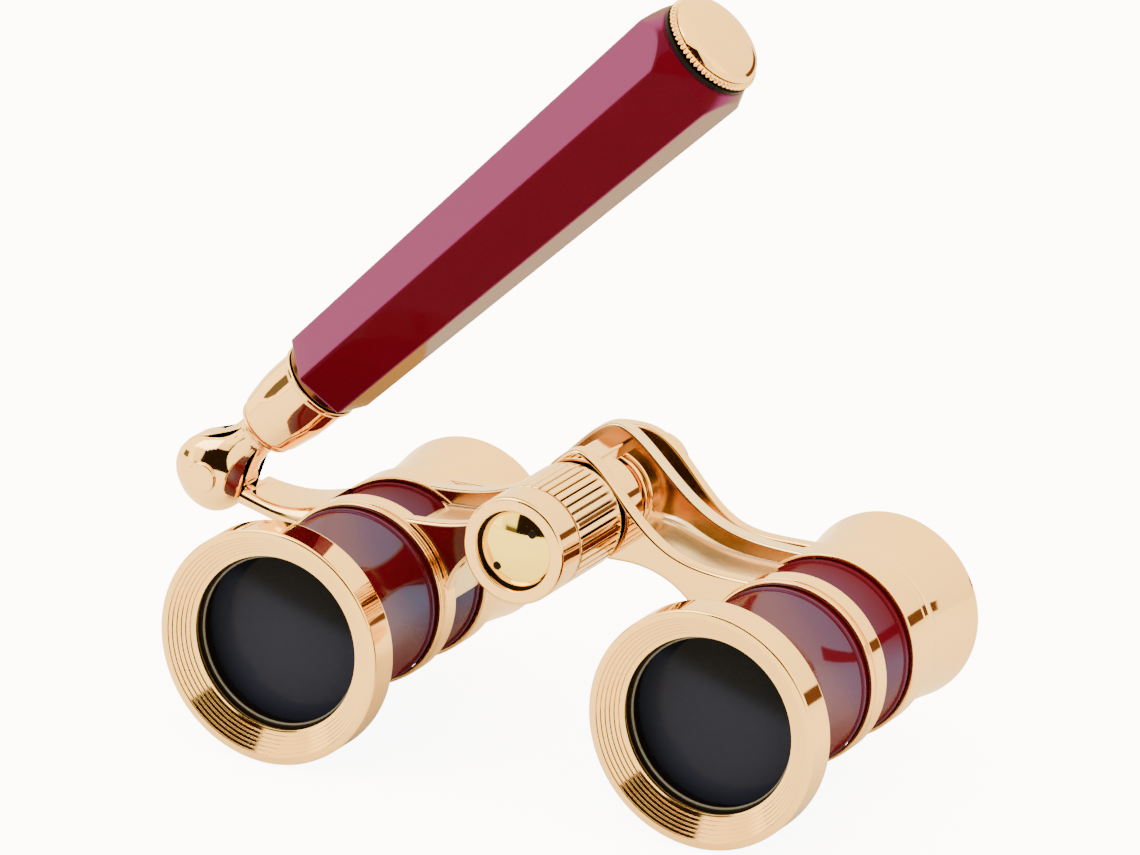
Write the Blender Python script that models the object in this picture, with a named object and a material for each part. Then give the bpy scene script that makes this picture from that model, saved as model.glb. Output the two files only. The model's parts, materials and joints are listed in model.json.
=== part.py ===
"""Theatre glasses: small Galilean binoculars on a folding, telescoping handle.

Run with blender --background --python part.py, or from Blender's text editor.
The optical axes run along +Y, from the objectives back to the eyepieces, and +Z is up.
The glasses stand on their objective bezels at Z = 0, with the origin under the middle
of their overall box. Left and right are the user's, looking through the eyepieces.
Sizes below are in metres, written in millimetres times MM.
"""

import math

import bmesh
import bpy
import numpy as np

MM = 0.001
WELD = 0.001 * MM

# Clearances
FIT = 0.15 * MM
GAP = 0.3 * MM

# Barrels, measured along the optical axis from the aperture plane
EYE_SPACING = 62.0 * MM
BARREL_R = 11.6 * MM
BARREL_WALL = 0.75 * MM
CONE_R = 15.0 * MM
CONE_LENGTH = 16.2 * MM
CONE_POWER = 1.7
BEAD_RISE = 0.25 * MM
BEAD_WIDTH = 1.0 * MM

# Objective bezels and what they hold
BEZEL_R = 15.75 * MM
BEZEL_EDGE = 0.35 * MM
BEZEL_REACH = 2.1 * MM
BEZEL_SKIRT = 2.8 * MM
BEZEL_LIP = 0.8 * MM
BEZEL_THREAD_WALL = 1.2 * MM
BEZEL_RIM = 0.7 * MM
BEZEL_STEPS = 5
APERTURE_R = 11.67 * MM
OBJECTIVE_R = 12.35 * MM
OBJECTIVE_EDGE = 2.0 * MM
OBJECTIVE_BULGE = 1.0 * MM
RETAINER_LENGTH = 2.3 * MM
RETAINER_WALL = 1.0 * MM

# Frame casting: two bell-shaped walls on a web, with a ring round each barrel
WALL_FRONT = 23.1 * MM
WALL_T = 2.3 * MM
CHANNEL = 8.4 * MM
RING_WALL = 0.85 * MM
FRONT_COLLAR = 1.5 * MM
REAR_COLLAR = 2.1 * MM
RIM_ROUND = 0.45 * MM
BELL_POWER = 1.8
FRONT_BELL = 9.3 * MM
FRONT_RISE = 8.5 * MM
FRONT_DROP = 1.55 * MM
REAR_BELL = 10.6 * MM
REAR_RISE = 9.1 * MM
REAR_DROP = 0.55 * MM
ARCH_HEIGHT = 10.4 * MM
ARCH_FLAT = 7.0 * MM
FLOOR_T = 2.4 * MM
RIB = 0.4 * MM
RIM_DEPTH = 0.9 * MM
WEB_REACH = 6.5 * MM
HUB_R = 6.9 * MM
HUB_LENGTH = 3.6 * MM
BOSS_R = 6.2 * MM
BOSS_LENGTH = 2.9 * MM
BOSS_STEP = 0.8 * MM
RIDGE_HALF = 2.4 * MM
RIDGE_T = 1.6 * MM
RIDGE_SINK = 1.4 * MM

# Focusing screw and knob
AXLE_RISE = 15.9 * MM
SPINDLE_R = 2.5 * MM
BUSH_WALL = 0.6 * MM
KNOB_R = 7.1 * MM
KNOB_BAND = 5.1 * MM
KNOB_FLUTED = 11.4 * MM
KNOB_WALL = 1.8 * MM
KNOB_BACK = 2.7 * MM
FLUTES = 40
FLUTE_DEPTH = 0.45 * MM
DISC_DEPTH = 0.4 * MM
DISC_CROWN = 0.9 * MM
SPANNER_R = 0.45 * MM
SPANNER_DEPTH = 0.8 * MM
COLLAR_T = 0.6 * MM
COLLAR_R = 4.4 * MM

# Eyepieces and the carriage that draws them out
CARRIAGE_T = 1.7 * MM
CARRIAGE_RING_WALL = 1.25 * MM
CARRIAGE_BELL = 10.2 * MM
CARRIAGE_RISE = 10.6 * MM
CARRIAGE_DROP = 0.65 * MM
CARRIAGE_PLATEAU = 2.4 * MM
DRAWTUBE_WALL = 0.9 * MM
DRAWTUBE_FRONT = 15.0 * MM
DRAWTUBE_SEAT = 3.6 * MM
EYECUP_LENGTH = 11.8 * MM
EYECUP_NECK_R = 11.6 * MM
EYECUP_R = 12.7 * MM
EYECUP_RIM = 0.8 * MM
EYECUP_DISH = 3.0 * MM
OCULAR_R = 7.75 * MM
OCULAR_EDGE = 2.0 * MM
OCULAR_HOLLOW = 0.5 * MM
OCULAR_RING_T = 0.65 * MM
OCULAR_RING_WALL = 1.15 * MM
NUT_WALL = 1.55 * MM
NUT_LENGTH = 8.9 * MM
NUT_END = 0.8 * MM

# Handle hinge: the frame's lug between the two cheeks of the knuckle
PIN_OUT = 54.9 * MM
PIN_RISE = 11.7 * MM
PIN_R = 2.1 * MM
KNUCKLE_R = 5.4 * MM
KNUCKLE_WIDTH = 8.6 * MM
HINGE_SETBACK = 3.6 * MM
LUG_R = 5.0 * MM
LUG_T = 3.4 * MM
LUG_BAR = 2.1 * MM
WASHER_R = 4.0 * MM
WASHER_T = 0.35 * MM
ARM_TIP = 5.8 * MM
ARM_TIP_DROP = 1.1 * MM
ARM_TIP_T = 2.1 * MM
ARM_TIP_WIDTH = 7.9 * MM
ARM_ROOT_T = 6.5 * MM
ARM_DIP = 1.0 * MM

# Handle, measured along it from the hinge pin
HANDLE_ANGLE = math.radians(43.5)
NECK_END = 10.7 * MM
NECK_R = 2.8 * MM
FERRULE_LENGTH = 10.8 * MM
FERRULE_R = 4.3 * MM
FERRULE_TOP_R = 5.3 * MM
FERRULE_RIM = 0.4 * MM
TENON_R = 1.9 * MM
TENON_LENGTH = 2.4 * MM
ROD_R = 3.3 * MM
ROD_WALL = 0.8 * MM
ROD_LENGTH = 68.3 * MM
STOP_T = 2.5 * MM
MOUTH_R = 5.6 * MM
MOUTH_T = 1.5 * MM
GRIP_LENGTH = 73.8 * MM
GRIP_LOW_R = 6.74 * MM
GRIP_HIGH_R = 8.46 * MM
GRIP_SHOULDER = 6.0 * MM
GRIP_TOP_R = 7.2 * MM
GRIP_WALL = 0.75 * MM
HEX_TURN = math.radians(-38.9)
LINER_WALL = 0.55 * MM
BLACK_RING_T = 0.6 * MM
BEAD_RING_T = 0.9 * MM
BEADS = 44
CAP_R = 6.5 * MM
CAP_SIDE = 0.4 * MM
CAP_CROWN = 1.0 * MM
CAP_STEM = 6.0 * MM

# Facets round a full turn
FACETS = 24
SMALL_FACETS = 16
SPANNER_FACETS = 12
PIN_BORE_FACETS = 20

# Heights, radii and places that follow from the sizes above
HALF = EYE_SPACING / 2
RING_R = BARREL_R + RING_WALL
BORE_R = BARREL_R - BARREL_WALL
SEAT_R = RING_R - 0.75 * RIB
WALL_REAR = WALL_FRONT + WALL_T + CHANNEL
FRAME_END = WALL_REAR + WALL_T
HUB_END = WALL_FRONT + WALL_T + HUB_LENGTH
BOSS_START = WALL_REAR - BOSS_LENGTH
BARREL_START = BEZEL_LIP + FIT
CONE_START = BEZEL_SKIRT + GAP
CONE_END = CONE_START + CONE_LENGTH
COLLAR_START = WALL_FRONT - FRONT_COLLAR
COLLAR_END = FRAME_END + REAR_COLLAR
BARREL_END = COLLAR_END - FIT
FRONT_BEAD = COLLAR_START - BEAD_WIDTH
REAR_BEAD = WALL_REAR - BEAD_WIDTH
RETAINER_START = BARREL_START
LENS_START = RETAINER_START + RETAINER_LENGTH + FIT
LENS_END = LENS_START + OBJECTIVE_BULGE + OBJECTIVE_EDGE
FLOOR_TOP = ARCH_HEIGHT + RIB + FLOOR_T
AXLE_BORE_R = SPINDLE_R + FIT + BUSH_WALL + FIT
SLOT_R = KNUCKLE_R + GAP
KNOB_START = WALL_FRONT - GAP - KNOB_FLUTED - GAP - KNOB_BAND
KNOB_BAND_END = KNOB_START + KNOB_BAND
CARRIAGE_START = COLLAR_END + GAP
CARRIAGE_END = CARRIAGE_START + CARRIAGE_T
DRAWTUBE_R = BORE_R - FIT
CARRIAGE_RING_R = DRAWTUBE_R + FIT + CARRIAGE_RING_WALL
EYECUP_START = CARRIAGE_END + GAP
EYECUP_END = EYECUP_START + EYECUP_LENGTH
NUT_R = SPINDLE_R + FIT + NUT_WALL
HINGE_MIDDLE = WALL_FRONT + HINGE_SETBACK
FERRULE_START = NECK_END + GAP
FERRULE_END = FERRULE_START + FERRULE_LENGTH
MOUTH_START = FERRULE_END + GAP
GRIP_START = MOUTH_START + MOUTH_T + FIT
GRIP_END = GRIP_START + GRIP_LENGTH
ROD_START = FERRULE_START + TENON_LENGTH + GAP
LINER_R = GRIP_LOW_R * math.cos(math.pi / 6) - GRIP_WALL
BEAD_RING_START = GRIP_END + FIT + BLACK_RING_T + FIT
CAP_START = BEAD_RING_START + BEAD_RING_T + FIT
CAP_STEM_R = LINER_R - FIT

# The datum sits midway between the two aperture centres, under the overall box's middle
DATUM = (
    (PIN_OUT + LUG_R - HALF - BEZEL_R) / 2,
    (BEZEL_REACH - EYECUP_END) / 2,
    BEZEL_R,
)


def clear_scene():
    for thing in list(bpy.data.objects):
        bpy.data.objects.remove(thing, do_unlink=True)


def finish_material(name, colour, roughness, metallic):
    material = bpy.data.materials.new(name)
    material.use_nodes = True
    shader = material.node_tree.nodes["Principled BSDF"]
    shader.inputs["Base Color"].default_value = (*colour, 1.0)
    shader.inputs["Roughness"].default_value = roughness
    shader.inputs["Metallic"].default_value = metallic
    material.diffuse_color = (*colour, 1.0)
    return material


def guide(name, place, turn=(0.0, 0.0, 0.0), parent=None):
    empty = bpy.data.objects.new(name, None)
    empty.location = place
    empty.rotation_euler = turn
    empty.parent = parent
    bpy.context.collection.objects.link(empty)
    return empty


def body_from(bm, name, material, parent):
    """Closes a bmesh into a smooth-shaded object with its faces pointing out."""
    bmesh.ops.remove_doubles(bm, verts=bm.verts, dist=WELD)
    bmesh.ops.recalc_face_normals(bm, faces=bm.faces)
    mesh = bpy.data.meshes.new(name)
    bm.to_mesh(mesh)
    bm.free()
    mesh.shade_smooth()
    mesh.set_sharp_from_angle(angle=math.radians(35))
    body = bpy.data.objects.new(name, mesh)
    body.parent = parent
    bpy.context.collection.objects.link(body)
    if material is None:
        body.hide_render = True
        body.display_type = "WIRE"
    else:
        mesh.materials.append(material)
    return body


def turned(name, profile, material, parent, facets=FACETS):
    """Spins (radius, height) pairs about the parent's Z. A profile with both ends on
    the axis is a solid, and any other closes into a ring."""
    bm = bmesh.new()
    verts = [bm.verts.new((radius, 0, height)) for radius, height in profile]
    edges = [bm.edges.new(pair) for pair in zip(verts, verts[1:])]
    if profile[0][0] > 0:
        edges.append(bm.edges.new((verts[-1], verts[0])))
    bmesh.ops.spin(
        bm, geom=verts + edges, axis=(0, 0, 1), angle=2 * math.pi, steps=facets, use_merge=True
    )
    return body_from(bm, name, material, parent)


def drum(name, radius, start, end, material, parent, facets=FACETS):
    profile = [(0, start), (radius, start), (radius, end), (0, end)]
    return turned(name, profile, material, parent, facets)


def sleeve(name, inner, outer, start, end, material, parent, facets=FACETS):
    profile = [(inner, start), (outer, start), (outer, end), (inner, end)]
    return turned(name, profile, material, parent, facets)


def loft(name, rings, material, parent, rounding=0.0, ends_meet=False):
    """Skins a row of rings of points. Its ends are capped, or joined to each other."""
    bm = bmesh.new()
    loops = [[bm.verts.new(point) for point in ring] for ring in rings]
    pairs = list(zip(loops, loops[1:]))
    if ends_meet:
        pairs.append((loops[-1], loops[0]))
    for low, high in pairs:
        for i, vert in enumerate(low):
            j = (i + 1) % len(low)
            bm.faces.new((vert, low[j], high[j], high[i]))
    if not ends_meet:
        caps = [bm.faces.new(loops[0]), bm.faces.new(loops[-1])]
        if rounding:
            rims = list({edge for cap in caps for edge in cap.edges})
            bmesh.ops.bevel(
                bm, geom=rims, offset=rounding, segments=1, profile=0.5, affect="EDGES"
            )
    return body_from(bm, name, material, parent)


def plate(name, outline, front, back, material, parent, rounding=0.0):
    """A flat piece with its (x, z) outline square to the optical axes."""
    rings = [[(x, y, z) for x, z in outline] for y in (front, back)]
    return loft(name, rings, material, parent, rounding)


def join(body, *tools):
    for tool in tools:
        modifier = body.modifiers.new("Join " + tool.name, "BOOLEAN")
        modifier.operation = "UNION"
        modifier.object = tool


def cut(body, *tools):
    for tool in tools:
        modifier = body.modifiers.new("Cut " + tool.name, "BOOLEAN")
        modifier.operation = "DIFFERENCE"
        modifier.object = tool


def combine(body, operation, tools):
    """One Boolean with several tools at once, kept together in a collection."""
    group = bpy.data.collections.new(body.name + " " + operation.lower())
    for tool in tools:
        group.objects.link(tool)
    modifier = body.modifiers.new(operation.capitalize(), "BOOLEAN")
    modifier.operation = operation
    modifier.operand_type = "COLLECTION"
    modifier.collection = group


def bell(x, crown, shoulder, width):
    """Height of a wall's top edge: a crown over the axle that falls to a flat shoulder."""
    return shoulder + (crown - shoulder) * math.exp(-((abs(x) / width) ** BELL_POWER))


def front_bell(x):
    return bell(x, AXLE_RISE + FRONT_RISE, RING_R - FRONT_DROP, FRONT_BELL)


def rear_bell(x):
    return bell(x, AXLE_RISE + REAR_RISE, RING_R - REAR_DROP, REAR_BELL)


def carriage_bell(x):
    height = bell(
        x, AXLE_RISE + CARRIAGE_RISE, CARRIAGE_RING_R - CARRIAGE_DROP, CARRIAGE_BELL
    )
    return min(height, AXLE_RISE + CARRIAGE_RISE - CARRIAGE_PLATEAU)


def nose_arch(foot, height, start, count):
    """Points up a quarter of an ellipse, from its foot beside a barrel to the flat crown."""
    turns = np.linspace(start, math.pi / 2, count)
    return [(ARCH_FLAT + (foot - ARCH_FLAT) * math.cos(t), height * math.sin(t)) for t in turns]


def mirrored(half):
    return half + [(-x, z) for x, z in reversed(half) if x > 0]


def wall_outline(top_edge, ring_r):
    """The bell down to where it meets the ring, round the ring and up the nose arch."""
    low, high = math.pi / 2, math.pi
    for _ in range(40):
        middle = (low + high) / 2
        if top_edge(HALF + ring_r * math.cos(middle)) > ring_r * math.sin(middle):
            high = middle
        else:
            low = middle
    meet_x = HALF + ring_r * math.cos(high)
    top = [(x, top_edge(x)) for x in np.linspace(0, meet_x, 11)[:-1]]
    turns = np.linspace(high, -math.pi, 20)
    ring = [(HALF + ring_r * math.cos(t), ring_r * math.sin(t)) for t in turns]
    return mirrored(top + ring + nose_arch(HALF - ring_r, ARCH_HEIGHT, 0, 7)[1:])


def web_outline():
    """The floor between the walls. Its ends run into the barrels, which trim them."""
    reach = HALF - WEB_REACH
    top = [
        (x, min(FLOOR_TOP, front_bell(x) - RIM_DEPTH)) for x in np.linspace(0, reach, 10)
    ]
    inside = [(HALF - BARREL_R / 2, BARREL_R / 3), (HALF - BARREL_R * 0.8, BARREL_R * 0.2)]
    foot = nose_arch(HALF - RING_R + RIB, ARCH_HEIGHT + RIB, math.radians(13), 7)
    return mirrored(top + inside + foot)


def barrel_profile():
    """Spigot, flared cone and plain tube outside; lens seat, cone and slide bore inside."""
    spigot = BEZEL_R - BEZEL_THREAD_WALL - FIT
    cell = OBJECTIVE_R + FIT
    seat = LENS_END + FIT
    outer = [(cell, BARREL_START), (spigot, BARREL_START), (spigot, CONE_START)]
    for t in np.linspace(0, 1, 6):
        flare = (CONE_R - BARREL_R) * (1 - t) ** CONE_POWER
        outer.append((BARREL_R + flare, CONE_START + t * CONE_LENGTH))
    for middle in (FRONT_BEAD, REAR_BEAD):
        outer.append((BARREL_R, middle - BEAD_WIDTH / 2))
        outer.append((BARREL_R + BEAD_RISE, middle))
        outer.append((BARREL_R, middle + BEAD_WIDTH / 2))
    inner = [
        (BARREL_R, BARREL_END),
        (BORE_R, BARREL_END),
        (BORE_R, CONE_END),
        (cell - RETAINER_WALL, seat + OBJECTIVE_EDGE),
        (cell - RETAINER_WALL, seat),
        (cell, seat),
    ]
    return outer + inner


def bezel_profile():
    """A rounded band whose face steps down to the aperture in fine rings."""
    rim = BEZEL_R - BEZEL_EDGE
    face = [(rim - BEZEL_RIM, -BEZEL_REACH)]
    step_r = (rim - BEZEL_RIM - APERTURE_R) / BEZEL_STEPS
    step_y = BEZEL_REACH / BEZEL_STEPS
    for i in range(BEZEL_STEPS):
        radius = rim - BEZEL_RIM - i * step_r
        face.append((radius - 0.15 * step_r, -BEZEL_REACH + (i + 1) * step_y))
        if i + 1 < BEZEL_STEPS:
            face.append((radius - step_r, -BEZEL_REACH + (i + 1) * step_y))
    face[-1] = (APERTURE_R, 0)
    skirt = BEZEL_R - BEZEL_THREAD_WALL
    return [
        (APERTURE_R, BEZEL_LIP),
        (skirt, BEZEL_LIP),
        (skirt, BEZEL_SKIRT),
        (rim, BEZEL_SKIRT),
        (BEZEL_R, BEZEL_SKIRT - BEZEL_EDGE),
        (BEZEL_R, BEZEL_EDGE - BEZEL_REACH),
        (rim, -BEZEL_REACH),
    ] + face


def domed(radius, start, bulge, end, count=4):
    """Solid of revolution with a domed front, flat rim and flat back."""
    front = [
        (radius * t, start + bulge * t**2) for t in np.linspace(0, 1, count)
    ]
    return front + [(radius, end), (0, end)]


def make_barrel(side, axis, finish):
    turned(side + "_barrel_tube", barrel_profile(), finish["enamel"], axis)
    turned(side + "_objective_bezel", bezel_profile(), finish["gold"], axis)
    retainer_end = RETAINER_START + RETAINER_LENGTH
    sleeve(
        side + "_objective_retaining_ring",
        OBJECTIVE_R - RETAINER_WALL,
        OBJECTIVE_R,
        RETAINER_START,
        retainer_end,
        finish["black"],
        axis,
        SMALL_FACETS,
    )
    lens = domed(OBJECTIVE_R, LENS_START, OBJECTIVE_BULGE, LENS_END)
    turned(side + "_objective_lens", lens, finish["glass"], axis)


def eyecup_profile():
    """A neck that flares to a rounded rim, with a dish round the eye lens."""
    socket = DRAWTUBE_R + FIT
    cell = OCULAR_R + FIT
    dish = EYECUP_END - EYECUP_DISH
    rim = EYECUP_R - EYECUP_RIM / 2
    lens_back = dish - OCULAR_RING_T - OCULAR_EDGE - 2 * FIT
    return [
        (socket, EYECUP_START),
        (EYECUP_NECK_R - RIB, EYECUP_START),
        (EYECUP_NECK_R, EYECUP_START + RIB),
        (EYECUP_NECK_R + RIB / 2, EYECUP_START + EYECUP_LENGTH * 0.4),
        (EYECUP_R, EYECUP_END - EYECUP_RIM),
        (rim, EYECUP_END),
        (rim - EYECUP_RIM, EYECUP_END),
        ((rim + cell) / 2, EYECUP_END - EYECUP_DISH * 0.6),
        (cell, dish),
        (cell, lens_back),
        (cell - OCULAR_RING_WALL, lens_back),
        (cell - OCULAR_RING_WALL, EYECUP_START + DRAWTUBE_SEAT + FIT),
        (socket, EYECUP_START + DRAWTUBE_SEAT + FIT),
    ]


def ocular_profile():
    """A double-concave eye lens."""
    end = EYECUP_END - EYECUP_DISH - OCULAR_RING_T - FIT
    start = end - OCULAR_EDGE
    hollow = [(t, OCULAR_HOLLOW * (1 - t**2)) for t in np.linspace(0, 1, 4)]
    front = [(OCULAR_R * t, start + depth) for t, depth in hollow]
    back = [(OCULAR_R * t, end - depth) for t, depth in reversed(hollow)]
    return front + back


def make_eyepiece(side, axis, finish):
    sleeve(
        side + "_drawtube",
        DRAWTUBE_R - DRAWTUBE_WALL,
        DRAWTUBE_R,
        CARRIAGE_START - DRAWTUBE_FRONT,
        EYECUP_START + DRAWTUBE_SEAT,
        finish["gold"],
        axis,
    )
    turned(side + "_eyecup", eyecup_profile(), finish["gold"], axis)
    turned(side + "_ocular_lens", ocular_profile(), finish["glass"], axis, SMALL_FACETS)
    dish = EYECUP_END - EYECUP_DISH
    sleeve(
        side + "_ocular_retaining_ring",
        OCULAR_R - OCULAR_RING_WALL,
        OCULAR_R,
        dish - OCULAR_RING_T,
        dish,
        finish["black"],
        axis,
        SMALL_FACETS,
    )


def arm_ring(t):
    """A section across the arm, from t = 0 in the barrel ring to t = 1 at the lug."""
    root_x = -HALF - RING_R * 0.6
    tip_x = ARM_TIP - PIN_OUT
    x = root_x + t * (tip_x - root_x)
    root_top = RING_R * 0.8
    tip_top = PIN_RISE - ARM_TIP_DROP
    top = root_top + t * (tip_top - root_top) - ARM_DIP * math.sin(math.pi * t)
    bottom = top - ARM_TIP_T - (ARM_ROOT_T - ARM_TIP_T) * (1 - t) ** 3
    front = WALL_FRONT + RIB / 2
    spare = FRAME_END - RIB - front - ARM_TIP_WIDTH
    rear = front + ARM_TIP_WIDTH + spare * (1 - t) ** 1.2
    edge = RIM_ROUND
    return [
        (x, front + edge, bottom),
        (x, rear - edge, bottom),
        (x, rear, bottom + edge),
        (x, rear, top - edge),
        (x, rear - edge, top),
        (x, front + edge, top),
        (x, front, top - edge),
        (x, front, bottom + edge),
    ]


def lug_bar(t):
    """A section of the flat bar that joins the lug's disc to the arm's tip."""
    x = -PIN_OUT + t * (ARM_TIP + RIM_ROUND)
    middle = PIN_RISE - t * (ARM_TIP_DROP + ARM_TIP_T / 2)
    corners = ((-1, -1), (1, -1), (1, 1), (-1, 1))
    return [
        (x, HINGE_MIDDLE + i * LUG_T / 2, middle + j * LUG_BAR / 2) for i, j in corners
    ]


def ring_profile(start, end):
    """A solid band round a barrel with small chamfers, which the barrel bore opens."""
    return [
        (0, start),
        (RING_R - RIB / 2, start),
        (RING_R, start + RIB / 2),
        (RING_R, end - RIB / 2),
        (RING_R - RIB / 2, end),
        (0, end),
    ]


def make_frame(datum, along, pin_axis, finish):
    """One casting: bell walls, web, hub, ridge, handle arm and lug, bored for the rest."""
    frame = plate(
        "bridge_frame",
        wall_outline(front_bell, SEAT_R),
        WALL_FRONT,
        WALL_FRONT + WALL_T,
        finish["gold"],
        datum,
        RIM_ROUND,
    )
    rear_wall = plate(
        "rear wall",
        wall_outline(rear_bell, SEAT_R),
        WALL_REAR,
        FRAME_END,
        None,
        datum,
        RIM_ROUND,
    )
    inside_front = WALL_FRONT + WALL_T / 2
    inside_rear = WALL_REAR + WALL_T / 2
    web = plate("web", web_outline(), inside_front, inside_rear, None, datum)
    hub = drum("hub", HUB_R, inside_front, HUB_END, None, along["axle"])
    groove_r = BOSS_R - BOSS_STEP
    stepped = [
        (0, BOSS_START),
        (BOSS_R, BOSS_START),
        (BOSS_R, BOSS_START + BOSS_STEP),
        (groove_r, BOSS_START + 1.3 * BOSS_STEP),
        (groove_r, BOSS_START + 1.7 * BOSS_STEP),
        (BOSS_R, BOSS_START + 2 * BOSS_STEP),
        (BOSS_R, inside_rear),
        (0, inside_rear),
    ]
    boss = turned("rear boss", stepped, None, along["axle"])
    ridge_low = AXLE_RISE + HUB_R - RIDGE_SINK
    ridge_outline = [
        (-RIDGE_HALF, ridge_low),
        (RIDGE_HALF, ridge_low),
        (RIDGE_HALF * 0.8, ridge_low + RIDGE_T),
        (-RIDGE_HALF * 0.8, ridge_low + RIDGE_T),
    ]
    ridge = plate("ridge", ridge_outline, inside_front, inside_rear, None, datum)
    arm = loft("arm", [arm_ring(t) for t in np.linspace(0, 1, 8)], None, datum)
    front_ring = ring_profile(COLLAR_START, WALL_FRONT + WALL_T + RIB / 2)
    rear_ring = ring_profile(WALL_REAR - RIB / 2, COLLAR_END)
    rings = []
    for side in ("left", "right"):
        rings.append(turned(side + " front ring", front_ring, None, along[side]))
        rings.append(turned(side + " rear ring", rear_ring, None, along[side]))
    lug = drum("lug", LUG_R, -LUG_T / 2, LUG_T / 2, None, pin_axis, SMALL_FACETS)
    bar = loft("lug bar", [lug_bar(t) for t in (0, 1)], None, datum)
    combine(frame, "UNION", [rear_wall, web, hub, boss, ridge, *rings, arm, bar, lug])
    bore = BARREL_R + FIT
    bored = [
        (0, CONE_START),
        (bore, CONE_START),
        (bore, REAR_BEAD - BEAD_WIDTH),
        (bore + BEAD_RISE, REAR_BEAD - BEAD_WIDTH / 2),
        (bore + BEAD_RISE, REAR_BEAD + BEAD_WIDTH / 2),
        (bore, REAR_BEAD + BEAD_WIDTH),
        (bore, EYECUP_END),
        (0, EYECUP_END),
    ]
    tools = [
        turned(side + " barrel bore", bored, None, along[side]) for side in ("left", "right")
    ]
    tools.append(
        drum("axle bore", AXLE_BORE_R, KNOB_START, EYECUP_END, None, along["axle"], SMALL_FACETS)
    )
    tools.append(
        drum("pin bore", PIN_R + FIT, -KNUCKLE_WIDTH, KNUCKLE_WIDTH, None, pin_axis, SMALL_FACETS)
    )
    tools.append(drum("collar pocket", COLLAR_R + GAP, HUB_END, BOSS_START, None, along["axle"]))
    combine(frame, "DIFFERENCE", tools)


def make_carriage(datum, along, finish):
    """The sliding bridge: the rear wall's shape again, with a ring round each drawtube."""
    carriage = plate(
        "eyepiece_bridge",
        wall_outline(carriage_bell, CARRIAGE_RING_R),
        CARRIAGE_START,
        CARRIAGE_END,
        finish["gold"],
        datum,
        RIM_ROUND,
    )
    tools = [
        drum(
            side + " drawtube bore",
            DRAWTUBE_R + FIT,
            WALL_REAR,
            EYECUP_END,
            None,
            along[side],
        )
        for side in ("left", "right")
    ]
    tools.append(
        drum("nut bore", NUT_R + FIT, WALL_REAR, EYECUP_END, None, along["axle"], SMALL_FACETS)
    )
    cut(carriage, *tools)
    bore = SPINDLE_R + FIT
    nut_end = CARRIAGE_START + NUT_LENGTH
    nut = [
        (0, nut_end),
        (NUT_R - RIM_ROUND, nut_end),
        (NUT_R, nut_end - RIM_ROUND),
        (NUT_R, CARRIAGE_START),
        (bore, CARRIAGE_START),
        (bore, nut_end - NUT_END),
        (0, nut_end - NUT_END),
    ]
    turned("focus_nut", nut, finish["gold"], along["axle"], SMALL_FACETS)


def fluted_ring(radius, height):
    """A ring of broad ribs with a narrow valley after each."""
    points = []
    for i in range(FLUTES):
        for share, depth in ((0.0, 0.0), (0.6, 0.0), (0.8, FLUTE_DEPTH)):
            turn = 2 * math.pi * (i + share) / FLUTES
            reach = radius - depth
            points.append((reach * math.cos(turn), reach * math.sin(turn), height))
    return points


def plain_ring(like, radius, height):
    """A round ring with a point on the same bearing as each point of another ring."""
    turns = [math.atan2(y, x) for x, y, _ in like]
    return [(radius * math.cos(t), radius * math.sin(t), height) for t in turns]


def make_focus_wheel(axis, finish):
    bore = SPINDLE_R + FIT
    recess = KNOB_R - KNOB_WALL
    back = KNOB_BAND_END - KNOB_BACK
    edge = RIM_ROUND / 2
    band = [
        (recess, KNOB_START),
        (KNOB_R - edge, KNOB_START),
        (KNOB_R, KNOB_START + edge),
        (KNOB_R, KNOB_BAND_END - edge),
        (KNOB_R - edge, KNOB_BAND_END),
        (bore, KNOB_BAND_END),
        (bore, back),
        (recess, back),
    ]
    turned("knob_front_band", band, finish["gold"], axis)

    start = KNOB_BAND_END + GAP
    end = start + KNOB_FLUTED
    first = fluted_ring(KNOB_R, start)
    rings = [
        plain_ring(first, KNOB_R - 2 * FLUTE_DEPTH, start),
        fluted_ring(KNOB_R, start + edge),
        fluted_ring(KNOB_R, end - 2 * FLUTE_DEPTH),
        plain_ring(first, KNOB_R - 2 * FLUTE_DEPTH, end),
    ]
    knob = loft("focus_knob", rings, finish["gold"], axis)
    bore_start = start - FLUTE_DEPTH
    bore_end = end + FLUTE_DEPTH
    cut(knob, drum("knob bore", bore, bore_start, bore_end, None, axis, SMALL_FACETS))

    disc_r = recess - FIT
    disc_start = KNOB_START + DISC_DEPTH
    disc = turned(
        "knob_end_disc",
        domed(disc_r, disc_start, DISC_CROWN, back - FIT),
        finish["pale_gold"],
        axis,
    )
    for i, sign in enumerate((-1, 1)):
        reach = sign * disc_r * 0.68 * math.cos(math.pi / 4)
        seat = guide(f"spanner hole axis {i}", (reach, -reach, disc_start), parent=axis)
        depth = SPANNER_DEPTH
        hole = drum(f"spanner hole {i}", SPANNER_R, -depth, depth, None, seat, SPANNER_FACETS)
        cut(disc, hole)

    spindle_start = back + GAP
    spindle_end = CARRIAGE_START + NUT_LENGTH - NUT_END - 2 * GAP
    spindle = [
        (0, spindle_start),
        (SPINDLE_R, spindle_start),
        (SPINDLE_R, spindle_end - RIM_ROUND),
        (SPINDLE_R - RIM_ROUND, spindle_end),
        (0, spindle_end),
    ]
    turned("focus_spindle", spindle, finish["steel"], axis, SMALL_FACETS)
    for name, place in (
        ("spindle_thrust_collar", HUB_END + FIT),
        ("spindle_lock_ring", HUB_END + COLLAR_T + 2 * FIT),
    ):
        end = place + COLLAR_T
        sleeve(name, bore, COLLAR_R, place, end, finish["gold"], axis, SMALL_FACETS)


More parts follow.
